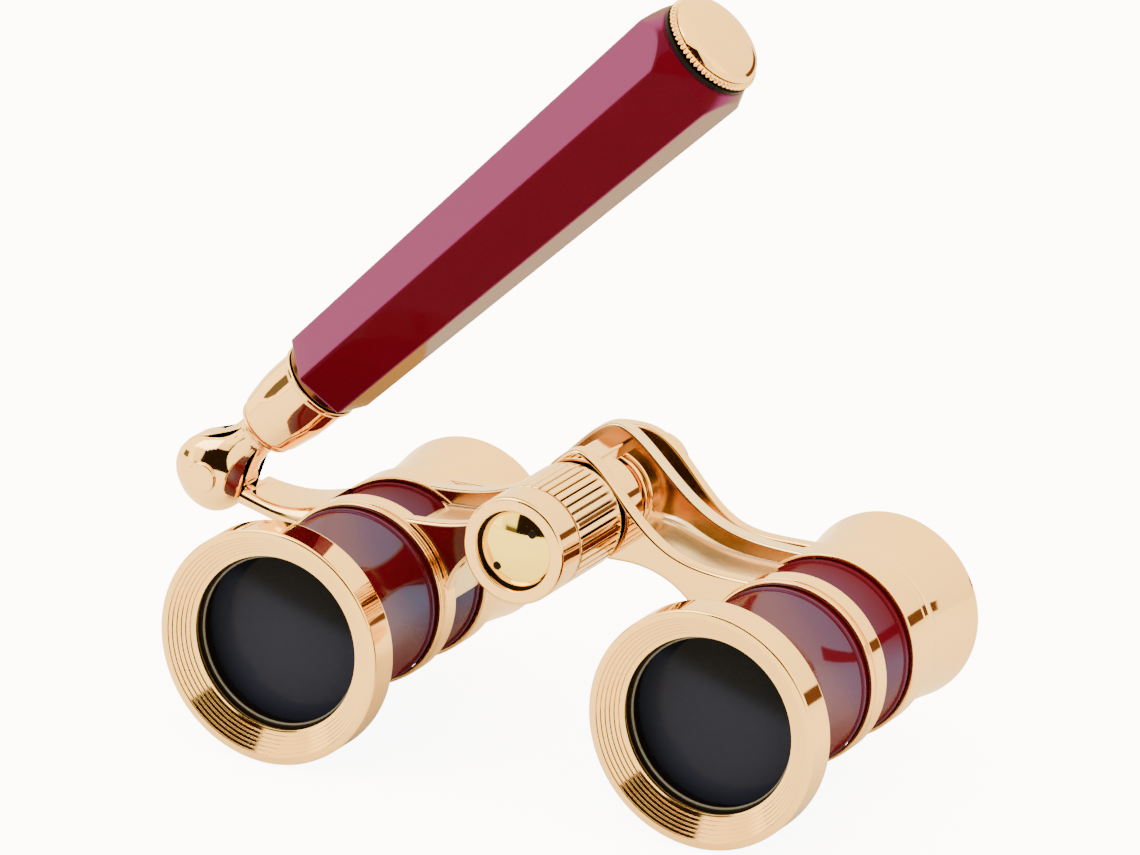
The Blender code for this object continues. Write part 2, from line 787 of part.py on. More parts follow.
def make_bushes(axis, finish):
    for name, start, end in (
        ("front_spindle_bush", WALL_FRONT + FIT, HUB_END),
        ("rear_spindle_bush", BOSS_START, FRAME_END),
    ):
        inner = SPINDLE_R + FIT
        sleeve(name, inner, inner + BUSH_WALL, start, end, finish["brass"], axis, SMALL_FACETS)


def make_hinge(pin_axis, finish):
    half = KNUCKLE_WIDTH / 2
    pin = [
        (0, -half - RIB / 2),
        (PIN_R - RIB, -half - RIB / 2),
        (PIN_R, -half + RIB / 2),
        (PIN_R, half - RIB / 2),
        (PIN_R - RIB, half + RIB / 2),
        (0, half + RIB / 2),
    ]
    turned("hinge_pin", pin, finish["gold"], pin_axis, SMALL_FACETS)
    near = LUG_T / 2 + FIT
    for name, start in (("front_hinge_washer", -near - WASHER_T), ("rear_hinge_washer", near)):
        sleeve(
            name,
            PIN_R + FIT,
            WASHER_R,
            start,
            start + WASHER_T,
            finish["brass"],
            pin_axis,
            SMALL_FACETS,
        )


def neck_ring(height, across, deep, count=SMALL_FACETS):
    turns = [2 * math.pi * i / count for i in range(count)]
    return [(across * math.cos(t), deep * math.sin(t), height) for t in turns]


def make_knuckle(pin_axis, handle, finish):
    """Two cheeks on the pin that run together into a waisted neck with a tenon."""
    half = KNUCKLE_WIDTH / 2
    turns = np.linspace(-1, 1, 8) * math.asin(half / KNUCKLE_R)
    ball = [(KNUCKLE_R * math.cos(t), KNUCKLE_R * math.sin(t)) for t in turns]
    knuckle = turned(
        "handle_knuckle", [(0, -half), *ball, (0, half)], finish["gold"], pin_axis
    )
    root = KNUCKLE_R * 0.65
    deep = half - FIT
    collar = FERRULE_R - FIT
    neck = loft(
        "neck",
        [
            neck_ring(0, root, deep * 0.85),
            neck_ring(KNUCKLE_R * 0.87, root * 0.98, deep * 0.85),
            neck_ring(SLOT_R + RIB, (root + NECK_R) / 2, (deep * 0.85 + NECK_R) / 2),
            neck_ring(SLOT_R + 3 * RIB, NECK_R * 1.03, NECK_R * 1.06),
            neck_ring(NECK_END * 0.8, NECK_R, NECK_R),
            neck_ring(NECK_END * 0.92, (NECK_R + collar) / 2 - RIB, (NECK_R + collar) / 2 - RIB),
            neck_ring(NECK_END - RIB, collar - RIB / 2, collar - RIB / 2),
            neck_ring(NECK_END, collar, collar),
        ],
        None,
        handle,
    )
    tenon = drum("tenon", TENON_R, NECK_END - RIB, NECK_END + TENON_LENGTH, None, handle, SMALL_FACETS)
    join(knuckle, neck, tenon)
    slot_half = LUG_T / 2 + WASHER_T + 2 * FIT
    slot = drum("slot", SLOT_R, -slot_half, slot_half, None, pin_axis)
    bore = PIN_R + FIT
    through = KNUCKLE_WIDTH
    hole = drum("knuckle bore", bore, -through, through, None, pin_axis, PIN_BORE_FACETS)
    cut(knuckle, slot, hole)


def make_ferrule_and_rod(handle, finish):
    socket = ROD_R + FIT
    tenon = TENON_R + FIT
    floor = ROD_START - GAP
    span = FERRULE_END - FERRULE_START
    ferrule = [
        (tenon, FERRULE_START),
        (FERRULE_R - RIB / 2, FERRULE_START),
        (FERRULE_R, FERRULE_START + RIB),
        (FERRULE_R + 0.7 * (FERRULE_TOP_R - FERRULE_R), FERRULE_START + span * 0.2),
        (FERRULE_TOP_R, FERRULE_START + span * 0.5),
        (FERRULE_TOP_R, FERRULE_START + span * 0.8),
        (FERRULE_TOP_R + 0.4 * FERRULE_RIM, FERRULE_END - 1.6 * RIB),
        (FERRULE_TOP_R + FERRULE_RIM, FERRULE_END - RIB / 2),
        (FERRULE_TOP_R + FERRULE_RIM, FERRULE_END),
        (socket, FERRULE_END),
        (socket, floor),
        (tenon, floor),
    ]
    turned("handle_ferrule", ferrule, finish["gold"], handle, FACETS)
    rod_end = ROD_START + ROD_LENGTH
    sleeve(
        "telescope_rod",
        ROD_R - ROD_WALL,
        ROD_R,
        ROD_START,
        rod_end,
        finish["gold"],
        handle,
        SMALL_FACETS,
    )
    sleeve(
        "rod_stop_ring",
        ROD_R + FIT,
        LINER_R - LINER_WALL - FIT,
        rod_end - STOP_T,
        rod_end,
        finish["brass"],
        handle,
        SMALL_FACETS,
    )


def grip_ring(height, hex_r, round_r, count=24):
    """A six-sided ring, cut back to a circle wherever the circle is the smaller."""
    sixth = math.pi / 3
    points = []
    for i in range(count):
        turn = HEX_TURN + 2 * math.pi * i / count
        into_side = (turn - HEX_TURN) % sixth - sixth / 2
        reach = min(hex_r * math.cos(sixth / 2) / math.cos(into_side), round_r)
        points.append((reach * math.cos(turn), reach * math.sin(turn), height))
    return points


def make_grip(handle, finish):
    """The six-sided grip with its liner, mouth ring, beaded ring and domed cap."""
    bore = LINER_R + FIT
    shoulder = GRIP_END - GRIP_SHOULDER
    slope = (GRIP_HIGH_R - GRIP_LOW_R) / (GRIP_LENGTH - GRIP_SHOULDER)
    shoulder_steps = [
        grip_ring(
            shoulder + t * GRIP_SHOULDER,
            GRIP_HIGH_R + slope * t * GRIP_SHOULDER,
            GRIP_HIGH_R - (GRIP_HIGH_R - GRIP_TOP_R) * t**1.7,
        )
        for t in np.linspace(0, 1, 5)
    ]
    first = grip_ring(GRIP_START, GRIP_LOW_R, GRIP_LOW_R)
    low_edge = GRIP_LOW_R - RIB
    rings = [
        plain_ring(first, bore, GRIP_START),
        grip_ring(GRIP_START, low_edge, low_edge),
        grip_ring(GRIP_START + RIB, GRIP_LOW_R, GRIP_LOW_R),
        *shoulder_steps,
        plain_ring(first, bore, GRIP_END),
    ]
    loft("grip_shell", rings, finish["enamel"], handle, ends_meet=True)
    stem_end = CAP_START - BEAD_RING_T - BLACK_RING_T - CAP_STEM
    liner_bore = LINER_R - LINER_WALL
    sleeve(
        "grip_liner",
        liner_bore,
        LINER_R,
        GRIP_START + FIT,
        stem_end - GAP,
        finish["brass"],
        handle,
        SMALL_FACETS,
    )
    sleeve(
        "grip_mouth_ring",
        ROD_R + FIT,
        MOUTH_R,
        MOUTH_START,
        MOUTH_START + MOUTH_T,
        finish["black"],
        handle,
        SMALL_FACETS,
    )
    ring_bore = CAP_STEM_R + FIT
    black_start = GRIP_END + FIT
    sleeve(
        "grip_black_ring",
        ring_bore,
        GRIP_TOP_R - RIB / 2,
        black_start,
        black_start + BLACK_RING_T,
        finish["black"],
        handle,
        SMALL_FACETS,
    )
    bead_end = BEAD_RING_START + BEAD_RING_T
    bead_r = GRIP_TOP_R - RIB / 2
    middle = []
    for i in range(2 * BEADS):
        turn = math.pi * i / BEADS
        reach = bead_r - (i % 2) * RIB
        height = (BEAD_RING_START + bead_end) / 2
        middle.append((reach * math.cos(turn), reach * math.sin(turn), height))
    rings = [
        plain_ring(middle, bead_r - RIB, BEAD_RING_START),
        middle,
        plain_ring(middle, bead_r - RIB, bead_end),
    ]
    beaded = loft("grip_beaded_ring", rings, finish["gold"], handle)
    cut(beaded, drum("bead ring bore", ring_bore, GRIP_END, GRIP_END + CAP_STEM, None, handle))
    cap_top = CAP_START + CAP_SIDE
    crown = [
        (CAP_R * math.cos(t), cap_top + CAP_CROWN * math.sin(t))
        for t in np.linspace(0, math.pi / 2, 6)[:-1]
    ]
    cap = [
        (0, stem_end),
        (CAP_STEM_R, stem_end),
        (CAP_STEM_R, CAP_START),
        (CAP_R - RIB / 2, CAP_START),
        (CAP_R, CAP_START + RIB / 2),
        *crown,
        (0, cap_top + CAP_CROWN),
    ]
    turned("grip_end_cap", cap, finish["gold"], handle, FACETS)


def build():
    clear_scene()
    finish = {
        "gold": finish_material("polished rose gold", (0.87, 0.64, 0.45), 0.12, 1.0),
        "pale_gold": finish_material("polished pale gold", (0.86, 0.72, 0.42), 0.08, 1.0),
        "enamel": finish_material("burgundy enamel", (0.27, 0.012, 0.035), 0.18, 0.0),
        "black": finish_material("black anodised ring", (0.012, 0.012, 0.013), 0.35, 0.2),
        "glass": finish_material("coated optical glass", (0.03, 0.04, 0.055), 0.03, 0.0),
        "steel": finish_material("bright spindle steel", (0.6, 0.58, 0.55), 0.25, 1.0),
        "brass": finish_material("bush brass", (0.65, 0.46, 0.2), 0.35, 1.0),
    }
    datum = guide("optical datum", DATUM)
    back = (-math.pi / 2, 0.0, 0.0)
    along = {
        "left": guide("left optical axis", (HALF, 0, 0), back, datum),
        "right": guide("right optical axis", (-HALF, 0, 0), back, datum),
        "axle": guide("focus knob axis", (0, 0, AXLE_RISE), back, datum),
    }
    carriage = guide("carriage slide", (0, 0, 0), parent=datum)
    drawn = {
        "left": guide("left eyepiece axis", (HALF, 0, 0), back, carriage),
        "right": guide("right eyepiece axis", (-HALF, 0, 0), back, carriage),
        "axle": guide("focus nut axis", (0, 0, AXLE_RISE), back, carriage),
    }
    hinge = guide("handle hinge", (-PIN_OUT, HINGE_MIDDLE, PIN_RISE), parent=datum)
    frame_pin = guide("hinge pin axis", (0, 0, 0), back, hinge)
    handle = guide("handle axis", (0, 0, 0), (0, math.pi / 2 - HANDLE_ANGLE, 0), hinge)
    knuckle_pin = guide("knuckle axis", (0, 0, 0), back, handle)
    grip = guide("grip slide", (0, 0, 0), parent=handle)

    make_frame(datum, along, frame_pin, finish)
    for side in ("left", "right"):
        make_barrel(side, along[side], finish)
        make_eyepiece(side, drawn[side], finish)
    make_carriage(carriage, drawn, finish)
    make_bushes(along["axle"], finish)
    make_focus_wheel(along["axle"], finish)
    make_hinge(frame_pin, finish)
    make_knuckle(knuckle_pin, handle, finish)
    make_ferrule_and_rod(handle, finish)
    make_grip(grip, finish)


build()
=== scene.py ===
"""Looks of the theatre glasses: polished rose gold, burgundy enamel and dark coated lenses.

Lengths are millimetres in the optical frame, and become metres in the row frame as a mesh
is made. The optical frame starts midway between the two aperture centres: X runs to the
user's left, Y from the objectives back to the eyepieces, and Z up.
"""

import json

import bmesh
import bpy
import numpy as np
from mathutils import Matrix, Vector


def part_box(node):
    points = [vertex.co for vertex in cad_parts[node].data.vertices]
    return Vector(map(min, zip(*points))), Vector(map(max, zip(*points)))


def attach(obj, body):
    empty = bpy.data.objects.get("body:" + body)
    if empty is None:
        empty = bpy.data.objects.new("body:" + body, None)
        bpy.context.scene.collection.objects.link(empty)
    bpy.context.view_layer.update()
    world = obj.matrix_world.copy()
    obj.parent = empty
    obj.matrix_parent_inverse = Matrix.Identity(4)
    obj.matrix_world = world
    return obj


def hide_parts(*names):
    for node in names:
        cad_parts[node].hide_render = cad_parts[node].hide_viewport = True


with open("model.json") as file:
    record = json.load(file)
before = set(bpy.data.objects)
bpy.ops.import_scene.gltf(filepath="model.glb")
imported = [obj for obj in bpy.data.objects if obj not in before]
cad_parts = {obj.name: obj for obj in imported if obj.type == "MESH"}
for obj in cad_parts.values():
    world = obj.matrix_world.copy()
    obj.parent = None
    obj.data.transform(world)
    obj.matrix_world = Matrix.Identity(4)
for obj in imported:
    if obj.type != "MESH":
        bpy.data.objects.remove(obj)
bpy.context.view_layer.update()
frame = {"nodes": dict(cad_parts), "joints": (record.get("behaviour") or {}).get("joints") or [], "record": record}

MM = 0.001

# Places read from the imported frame


def span(node):
    """Lowest and highest corner of a CAD node, in millimetres of the row frame."""
    low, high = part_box(node)
    return np.array(low) / MM, np.array(high) / MM


LEFT_LOW, LEFT_HIGH = span("left_objective_bezel")
RIGHT_LOW, RIGHT_HIGH = span("right_objective_bezel")
BEZEL_R = (LEFT_HIGH[0] - LEFT_LOW[0]) / 2
BEZEL_REACH = 2.1
HALF = (LEFT_LOW[0] + LEFT_HIGH[0] - RIGHT_LOW[0] - RIGHT_HIGH[0]) / 4
DATUM = np.array([
    (LEFT_LOW[0] + RIGHT_HIGH[0]) / 2,
    LEFT_LOW[1] + BEZEL_REACH,
    (LEFT_LOW[2] + LEFT_HIGH[2]) / 2,
])


def along_y(node):
    """Where a CAD node starts and ends along the optical axes."""
    low, high = span(node)
    return low[1] - DATUM[1], high[1] - DATUM[1]


def radius_of(node):
    """Half the width of a round CAD node."""
    low, high = span(node)
    return (high[0] - low[0]) / 2


BEZEL_SKIRT = along_y("left_objective_bezel")[1]
BARREL_START, BARREL_END = along_y("left_barrel_tube")
RETAINER_START, RETAINER_END = along_y("left_objective_retaining_ring")
OBJECTIVE_START, OBJECTIVE_END = along_y("left_objective_lens")
OBJECTIVE_R = radius_of("left_objective_lens")
CARRIAGE_START, CARRIAGE_END = along_y("eyepiece_bridge")
TUBE_START, TUBE_END = along_y("left_drawtube")
TUBE_R = radius_of("left_drawtube")
CUP_START, CUP_END = along_y("left_eyecup")
CUP_R = radius_of("left_eyecup")
EYE_RING_START, EYE_RING_END = along_y("left_ocular_retaining_ring")
EYE_RING_R = radius_of("left_ocular_retaining_ring")
EYE_LENS_START, EYE_LENS_END = along_y("left_ocular_lens")
NUT_START, NUT_END = along_y("focus_nut")
NUT_R = radius_of("focus_nut")
KNOB_START, KNOB_BAND_END = along_y("knob_front_band")
KNOB_FLUTED_START, KNOB_FLUTED_END = along_y("focus_knob")
KNOB_R = radius_of("knob_front_band")
DISC_START, DISC_END = along_y("knob_end_disc")
DISC_R = radius_of("knob_end_disc")
SPINDLE_START, SPINDLE_END = along_y("focus_spindle")
SPINDLE_R = radius_of("focus_spindle")
COLLAR_START = along_y("bridge_frame")[0]
HINGE = next(np.array(j["pos_m"]) for j in frame["joints"] if j["name"] == "handle_fold")
HINGE = HINGE / MM - DATUM
HANDLE_AXIS = next(np.array(j["axis"]) for j in frame["joints"] if j["name"] == "grip_draw")
AXLE = next(np.array(j["pos_m"]) for j in frame["joints"] if j["name"] == "focus_turn")
AXLE_RISE = (AXLE / MM - DATUM)[2]


def points_of(piece):
    """Where a piece's points lie, in millimetres of the optical frame."""
    points = np.empty(len(piece.data.vertices) * 3, np.float32)
    piece.data.vertices.foreach_get("co", points)
    return points.reshape(-1, 3) / MM - DATUM


def along_handle(node):
    """Where a CAD node starts and ends along the handle, from the hinge pin."""
    reach = (points_of(frame["nodes"][node]) - HINGE) @ HANDLE_AXIS
    return reach.min(), reach.max()


# Sizes of the forms, as the CAD has them
CLEAR = 0.15
SCREW_BORE_R = SPINDLE_R + CLEAR
SIDES = (("left", HALF), ("right", -HALF))
LENS_SEAT_R = 12.5
LENS_SAG = 1.0
EYE_LENS_SAG = 0.5
RING_STEP = 1.15
CONE_GAP = 0.3
BARREL_R = 11.6
BORE_R = 10.85
CONE_R = 15.0
CONE_LENGTH = 16.2
CONE_POWER = 1.7
BEAD_RISE = 0.25
BEAD_WIDTH = 1.0
APERTURE_R = 11.67
WALL_FRONT = 23.1
WALL_T = 2.3
WALL_REAR = 33.8
FRAME_END = WALL_REAR + WALL_T
WALL_EDGE = 0.5
SEAT_R = 12.1
RING_R = 12.45
RING_EDGE = 0.35
RIB = 0.4
REAR_RING_END = 38.2
NOSE_HALF = 7.0
NOSE_RISE = 10.4
WEB_RISE = 13.2
WEB_UNDER_RISE = 10.8
ARM_WIDTH = 7.9
BALL_R, CHEEK, SLOT, SLOT_DEPTH = 5.4, 4.3, 2.2, 5.7
WAIST, WAIST_R = 8.6, 2.8
LUG_R = 5.3
LUG_HALF = 1.7
PIN_R = 2.1
PIN_HALF = 4.5
PIN_BORE_R = 2.25
HANDLE_ANGLE = np.arctan2(HANDLE_AXIS[2], HANDLE_AXIS[0])


# Mesh tools


def rounded(points, radii, steps=6, support=0.03):
    """Each corner of a polyline gives way to a parabola arc that leaves its two sides at the
    given distance. A support point on each side keeps the flats flat under smooth shading."""
    p = np.asarray(points, float)
    r = np.broadcast_to(np.asarray(radii, float), (len(p),)).copy()
    before, after = np.roll(p, 1, 0) - p, np.roll(p, -1, 0) - p
    reach_before = np.linalg.norm(before, axis=1)
    reach_after = np.linalg.norm(after, axis=1)
    unit_before = before / np.maximum(reach_before, 1e-9)[:, None]
    unit_after = after / np.maximum(reach_after, 1e-9)[:, None]
    r = np.minimum(r, 0.45 * np.minimum(reach_before, reach_after))
    s = np.minimum(support, 0.3 * r)
    t = np.linspace(0, 1, steps)[None, :, None]
    first = (p + unit_before * r[:, None])[:, None]
    last = (p + unit_after * r[:, None])[:, None]
    arc = (1 - t) ** 2 * first + 2 * t * (1 - t) * p[:, None] + t**2 * last
    lead = (p + unit_before * (r + s)[:, None])[:, None]
    trail = (p + unit_after * (r + s)[:, None])[:, None]
    return np.concatenate([lead, arc, trail], 1).reshape(-1, 2)


def open_rounded(points, radii, steps=6):
    """As rounded, with the polyline's two end points kept where they are."""
    full = rounded(points, radii, steps)
    per = steps + 2
    ends = np.asarray(points, float)
    return np.concatenate([ends[:1], full[per:-per], ends[-1:]])


def collar_line(inner, outer, start, end, edge):
    """A ring's section: a rectangle with eased corners."""
    return rounded([[inner, start], [outer, start], [outer, end], [inner, end]], edge)


def skin(name, grid, wrap_rows=False, wrap_columns=True, caps=False):
    """A mesh over a grid of points. Rows or columns that wrap join end to start. With caps,
    the end rows close on their own middles. The normals are turned to point outwards."""
    grid = np.asarray(grid, float)
    if caps:
        middles = [np.broadcast_to(grid[k].mean(0), grid[k].shape)[None] for k in (0, -1)]
        grid = np.concatenate([middles[0], grid, middles[1]])
    rows, columns = grid.shape[:2]
    index = np.arange(rows * columns).reshape(rows, columns)
    if wrap_rows:
        index = np.concatenate([index, index[:1]])
    if wrap_columns:
        index = np.concatenate([index, index[:, :1]], 1)
    quads = np.stack([index[:-1, :-1], index[:-1, 1:], index[1:, 1:], index[1:, :-1]], -1)
    mesh = bpy.data.meshes.new(name)
    verts = (grid.reshape(-1, 3) + DATUM) * MM
    mesh.from_pydata(verts, [], quads.reshape(-1, 4))
    bm = bmesh.new()
    bm.from_mesh(mesh)
    bmesh.ops.remove_doubles(bm, verts=bm.verts, dist=2e-7)
    bmesh.ops.recalc_face_normals(bm, faces=bm.faces)
    bm.to_mesh(mesh)
    bm.free()
    mesh.shade_smooth()
    mesh.set_sharp_from_angle(angle=np.radians(50))
    piece = bpy.data.objects.new(name, mesh)
    bpy.context.scene.collection.objects.link(piece)
    return piece


def turn_grid(profile, around=160, radius=None):
    """A profile of (radius, height) carried round an axis: a grid of local points. The
    optional function of (radius, height, turn) reshapes the radius, as flutes and flats do."""
    profile = np.asarray(profile, float)
    turn = np.linspace(0, 2 * np.pi, around, endpoint=False)[None, :]
    r = np.broadcast_to(profile[:, :1], (len(profile), around))
    h = np.broadcast_to(profile[:, 1:], (len(profile), around))
    if radius is not None:
        r = radius(r, h, turn)
    return np.stack([r * np.cos(turn), r * np.sin(turn), h], -1)


def place(local, start, axis, across):
    """Local points set on an axis: local X runs along across, and local Z along the axis."""
    axis = np.asarray(axis, float) / np.linalg.norm(axis)
    across = np.asarray(across, float) / np.linalg.norm(across)
    third = np.cross(axis, across)
    return np.asarray(start, float) + local @ np.stack([across, third, axis])


def optical(local, x=0.0, z=0.0):
    """Local points whose Z runs back along an optical axis."""
    return place(local, (x, 0, z), (0, 1, 0), (1, 0, 0))


def on_screw(local):
    """Local points whose Z runs back along the focusing screw."""
    return optical(local, 0, AXLE_RISE)


def on_pin(local):
    """Local points whose Z runs back along the hinge pin."""
    return place(local, HINGE, (0, 1, 0), (1, 0, 0))


def on_handle(local):
    """Local points whose Z runs along the handle from its hinge pin, and whose X points
    down across it."""
    across = (np.sin(HANDLE_ANGLE), 0, -np.cos(HANDLE_ANGLE))
    return place(local, HINGE, HANDLE_AXIS, across)


def mark(piece, name, value_of):
    """An attribute on the piece's points, worked out from where they lie."""
    layer = piece.data.attributes.new(name, "FLOAT", "POINT")
    layer.data.foreach_set("value", value_of(points_of(piece)).astype(np.float32))


def finish_piece(piece, body, slot, material, *replaced):
    """Gives a piece its material and its body, and hides the CAD nodes that it replaces. The slot is not used."""
    piece.data.materials.clear()
    piece.data.materials.append(material)
    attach(piece, body)
    if replaced:
        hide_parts(*replaced)
    return piece


# Materials


def shader_of(name):
    """A new material, with its node tree and its Principled shader."""
    material = bpy.data.materials.new(name)
    material.use_nodes = True
    tree = material.node_tree
    return material, tree, tree.nodes["Principled BSDF"]


def noise(tree, scale, detail, stretch=(1, 1, 1)):
    """Noise on Object coordinates, in features per metre, stretched along the axes."""
    where = tree.nodes.new("ShaderNodeTexCoord")
    mapping = tree.nodes.new("ShaderNodeMapping")
    mapping.inputs["Scale"].default_value = stretch
    texture = tree.nodes.new("ShaderNodeTexNoise")
    texture.inputs["Scale"].default_value = scale
    texture.inputs["Detail"].default_value = detail
    tree.links.new(where.outputs["Object"], mapping.inputs["Vector"])
    tree.links.new(mapping.outputs["Vector"], texture.inputs["Vector"])
    return texture.outputs["Fac"]


def ranged(tree, value, low, high):
    """The value, spread from 0..1 to low..high."""
    node = tree.nodes.new("ShaderNodeMapRange")
    node.inputs["To Min"].default_value = low
    node.inputs["To Max"].default_value = high
    tree.links.new(value, node.inputs["Value"])
    return node.outputs["Result"]


def blended(tree, value, first, second):
    """The first colour where the value is 0, and the second where it is 1. Each is a plain
    colour or another node's output."""
    node = tree.nodes.new("ShaderNodeMix")
    node.data_type = "RGBA"
    for socket, colour in (("A", first), ("B", second)):
        if isinstance(colour, tuple):
            node.inputs[socket].default_value = (*colour, 1)
        else:
            tree.links.new(colour, node.inputs[socket])
    tree.links.new(value, node.inputs["Factor"])
    return node.outputs["Result"]


def marked(tree, name):
    """The value of the piece's own attribute."""
    node = tree.nodes.new("ShaderNodeAttribute")
    node.attribute_name = name
    return node.outputs["Fac"]


def math_node(tree, operation, first, second=None):
    """Arithmetic on one or two values, each a number or another node's output."""
    node = tree.nodes.new("ShaderNodeMath")
    node.operation = operation
    for socket, value in zip(node.inputs, (first, second)):
        if isinstance(value, (int, float)):
            socket.default_value = value
        elif value is not None:
            tree.links.new(value, socket)
    return node.outputs[0]


def ramped(tree, value, start, end, soft):
    """1 between start and end, falling smoothly to 0 over the soft width outside them."""
    sides = []
    for low, high in ((start - soft, start), (end + soft, end)):
        node = tree.nodes.new("ShaderNodeMapRange")
        node.interpolation_type = "SMOOTHSTEP"
        node.inputs["From Min"].default_value = low
        node.inputs["From Max"].default_value = high
        tree.links.new(value, node.inputs["Value"])
        sides.append(node.outputs["Result"])
    return math_node(tree, "MULTIPLY", *sides)


def bumped(tree, shader, height, distance, before=None):
    """Relief of the given depth in metres, on top of an earlier one."""
    node = tree.nodes.new("ShaderNodeBump")
    node.inputs["Distance"].default_value = distance
    tree.links.new(height, node.inputs["Height"])
    if before is not None:
        tree.links.new(before.outputs["Normal"], node.inputs["Normal"])
    tree.links.new(node.outputs["Normal"], shader.inputs["Normal"])
    return node


def polished_metal(name, light, deep, smooth=0.035, worn=0.075, bright=1.0):
    """Mirror plating: a slow drift in tint, a slight haze in patches, fine polishing lines
    and the long, low waves that hand buffing leaves."""
    material, tree, shader = shader_of(name)
    shader.inputs["Metallic"].default_value = bright
    drift = noise(tree, 90.0, 3.0)
    tree.links.new(blended(tree, drift, light, deep), shader.inputs["Base Color"])
    haze = noise(tree, 420.0, 5.0, (1.0, 2.5, 1.0))
    tree.links.new(ranged(tree, haze, smooth, worn), shader.inputs["Roughness"])
    waves = bumped(tree, shader, noise(tree, 160.0, 1.0), 0.000012)
    bumped(tree, shader, noise(tree, 5200.0, 2.0, (1.0, 0.25, 1.0)), 0.0000006, waves)
    return material


def baked_enamel(name):
    """Burgundy enamel with a slight drift in tint: its material, tree, shader, body colour,
    roughness and slant, which is 0 where a face is seen square on and 1 along it."""
    material, tree, shader = shader_of(name)
    body = blended(tree, noise(tree, 110.0, 4.0), (0.056, 0.0016, 0.0062), (0.072, 0.0028, 0.0098))
    smooth = ranged(tree, noise(tree, 700.0, 4.0), 0.05, 0.09)
    tree.links.new(smooth, shader.inputs["Roughness"])
    bumped(tree, shader, noise(tree, 240.0, 2.0), 0.000010)
    weight = tree.nodes.new("ShaderNodeLayerWeight")
    weight.inputs["Blend"].default_value = 0.5
    return material, tree, shader, body, smooth, weight.outputs["Facing"]


def pearl_enamel(name):
    """The grip's enamel: a pearl that brightens faces seen at a slant, under a bluish gloss."""
    material, tree, shader, body, _, slant = baked_enamel(name)
    pearl = ramped(tree, slant, 0.38, 0.52, 0.14)
    tree.links.new(blended(tree, pearl, body, (0.130, 0.012, 0.088)), shader.inputs["Base Color"])
    gloss = ranged(tree, ramped(tree, slant, 0.42, 0.58, 0.2), 0.035, 0.19)
    tree.links.new(gloss, shader.inputs["Specular IOR Level"])
    along = ramped(tree, slant, 0.80, 1.0, 0.08)
    tint = blended(tree, along, (0.10, 0.27, 1.0), (0.75, 0.80, 1.0))
    tree.links.new(tint, shader.inputs["Specular Tint"])
    return material


def violet_enamel(name):
    """The barrels' enamel, under a violet gloss that grows with the slant. The attribute
    "red_side" holds how far that gloss turns to a dim red: a painted reflection."""
    material, tree, shader, body, smooth, slant = baked_enamel(name)
    tree.links.new(body, shader.inputs["Base Color"])
    shader.inputs["Specular IOR Level"].default_value = 0.0
    sheen = tree.nodes.new("ShaderNodeBsdfGlossy")
    tree.links.new(smooth, sheen.inputs["Roughness"])
    along = ramped(tree, slant, 0.80, 1.0, 0.25)
    violet = blended(tree, along, (0.13, 0.42, 1.0), (0.50, 0.62, 1.0))
    # Painted reflection: the gloss turns dim red where red_side is 1.
    tint = blended(tree, marked(tree, "red_side"), violet, (0.16, 0.05, 0.05))
    tree.links.new(tint, sheen.inputs["Color"])
    over = tree.nodes.new("ShaderNodeMixShader")
    strength = ranged(tree, ramped(tree, slant, 0.60, 1.0, 0.45), 0.02, 0.105)
    tree.links.new(strength, over.inputs["Fac"])
    tree.links.new(shader.outputs["BSDF"], over.inputs[1])
    tree.links.new(sheen.outputs["BSDF"], over.inputs[2])
    tree.links.new(over.outputs["Shader"], tree.nodes["Material Output"].inputs["Surface"])
    return material


def shade_painted_metal(name, light, dark, smooth=0.05, worn=0.10):
    """Plating with painted shade: it turns dark where the attribute "darkened" is 1."""
    material = polished_metal(name, light, light, smooth, worn)
    tree = material.node_tree
    shader = tree.nodes["Principled BSDF"]
    plated = shader.inputs["Base Color"].links[0].from_socket
    tint = blended(tree, marked(tree, "darkened"), plated, dark)
    tree.links.new(tint, shader.inputs["Base Color"])
    return material


def dark_ring(name, colour, rough_low, rough_high):
    """Anodised metal: near black, with a fine matt grain."""
    material, tree, shader = shader_of(name)
    grain = noise(tree, 2600.0, 4.0)
    paler = tuple(1.8 * c for c in colour)
    tree.links.new(blended(tree, grain, colour, paler), shader.inputs["Base Color"])
    tree.links.new(ranged(tree, grain, rough_low, rough_high), shader.inputs["Roughness"])
    shader.inputs["Specular IOR Level"].default_value = 0.06
    bumped(tree, shader, grain, 0.00001)
    return material


def lens_glass(name):
    """A coated lens over a blackened tube, with painted light and shade in its colour. The
    attribute "depth" runs from near black, painted shade, at 0, to slate blue, painted light
    from the lit side, at 1."""
    material, tree, shader = shader_of(name)
    slate = blended(tree, noise(tree, 60.0, 2.0), (0.0135, 0.0172, 0.036), (0.0165, 0.0212, 0.044))
    # Painted shade and light: near black to slate blue across the lens.
    tint = blended(tree, marked(tree, "depth"), (0.0048, 0.0058, 0.0090), slate)
    tree.links.new(tint, shader.inputs["Base Color"])
    tree.links.new(ranged(tree, noise(tree, 900.0, 3.0), 0.02, 0.05), shader.inputs["Roughness"])
    shader.inputs["Specular IOR Level"].default_value = 0.03
    return material


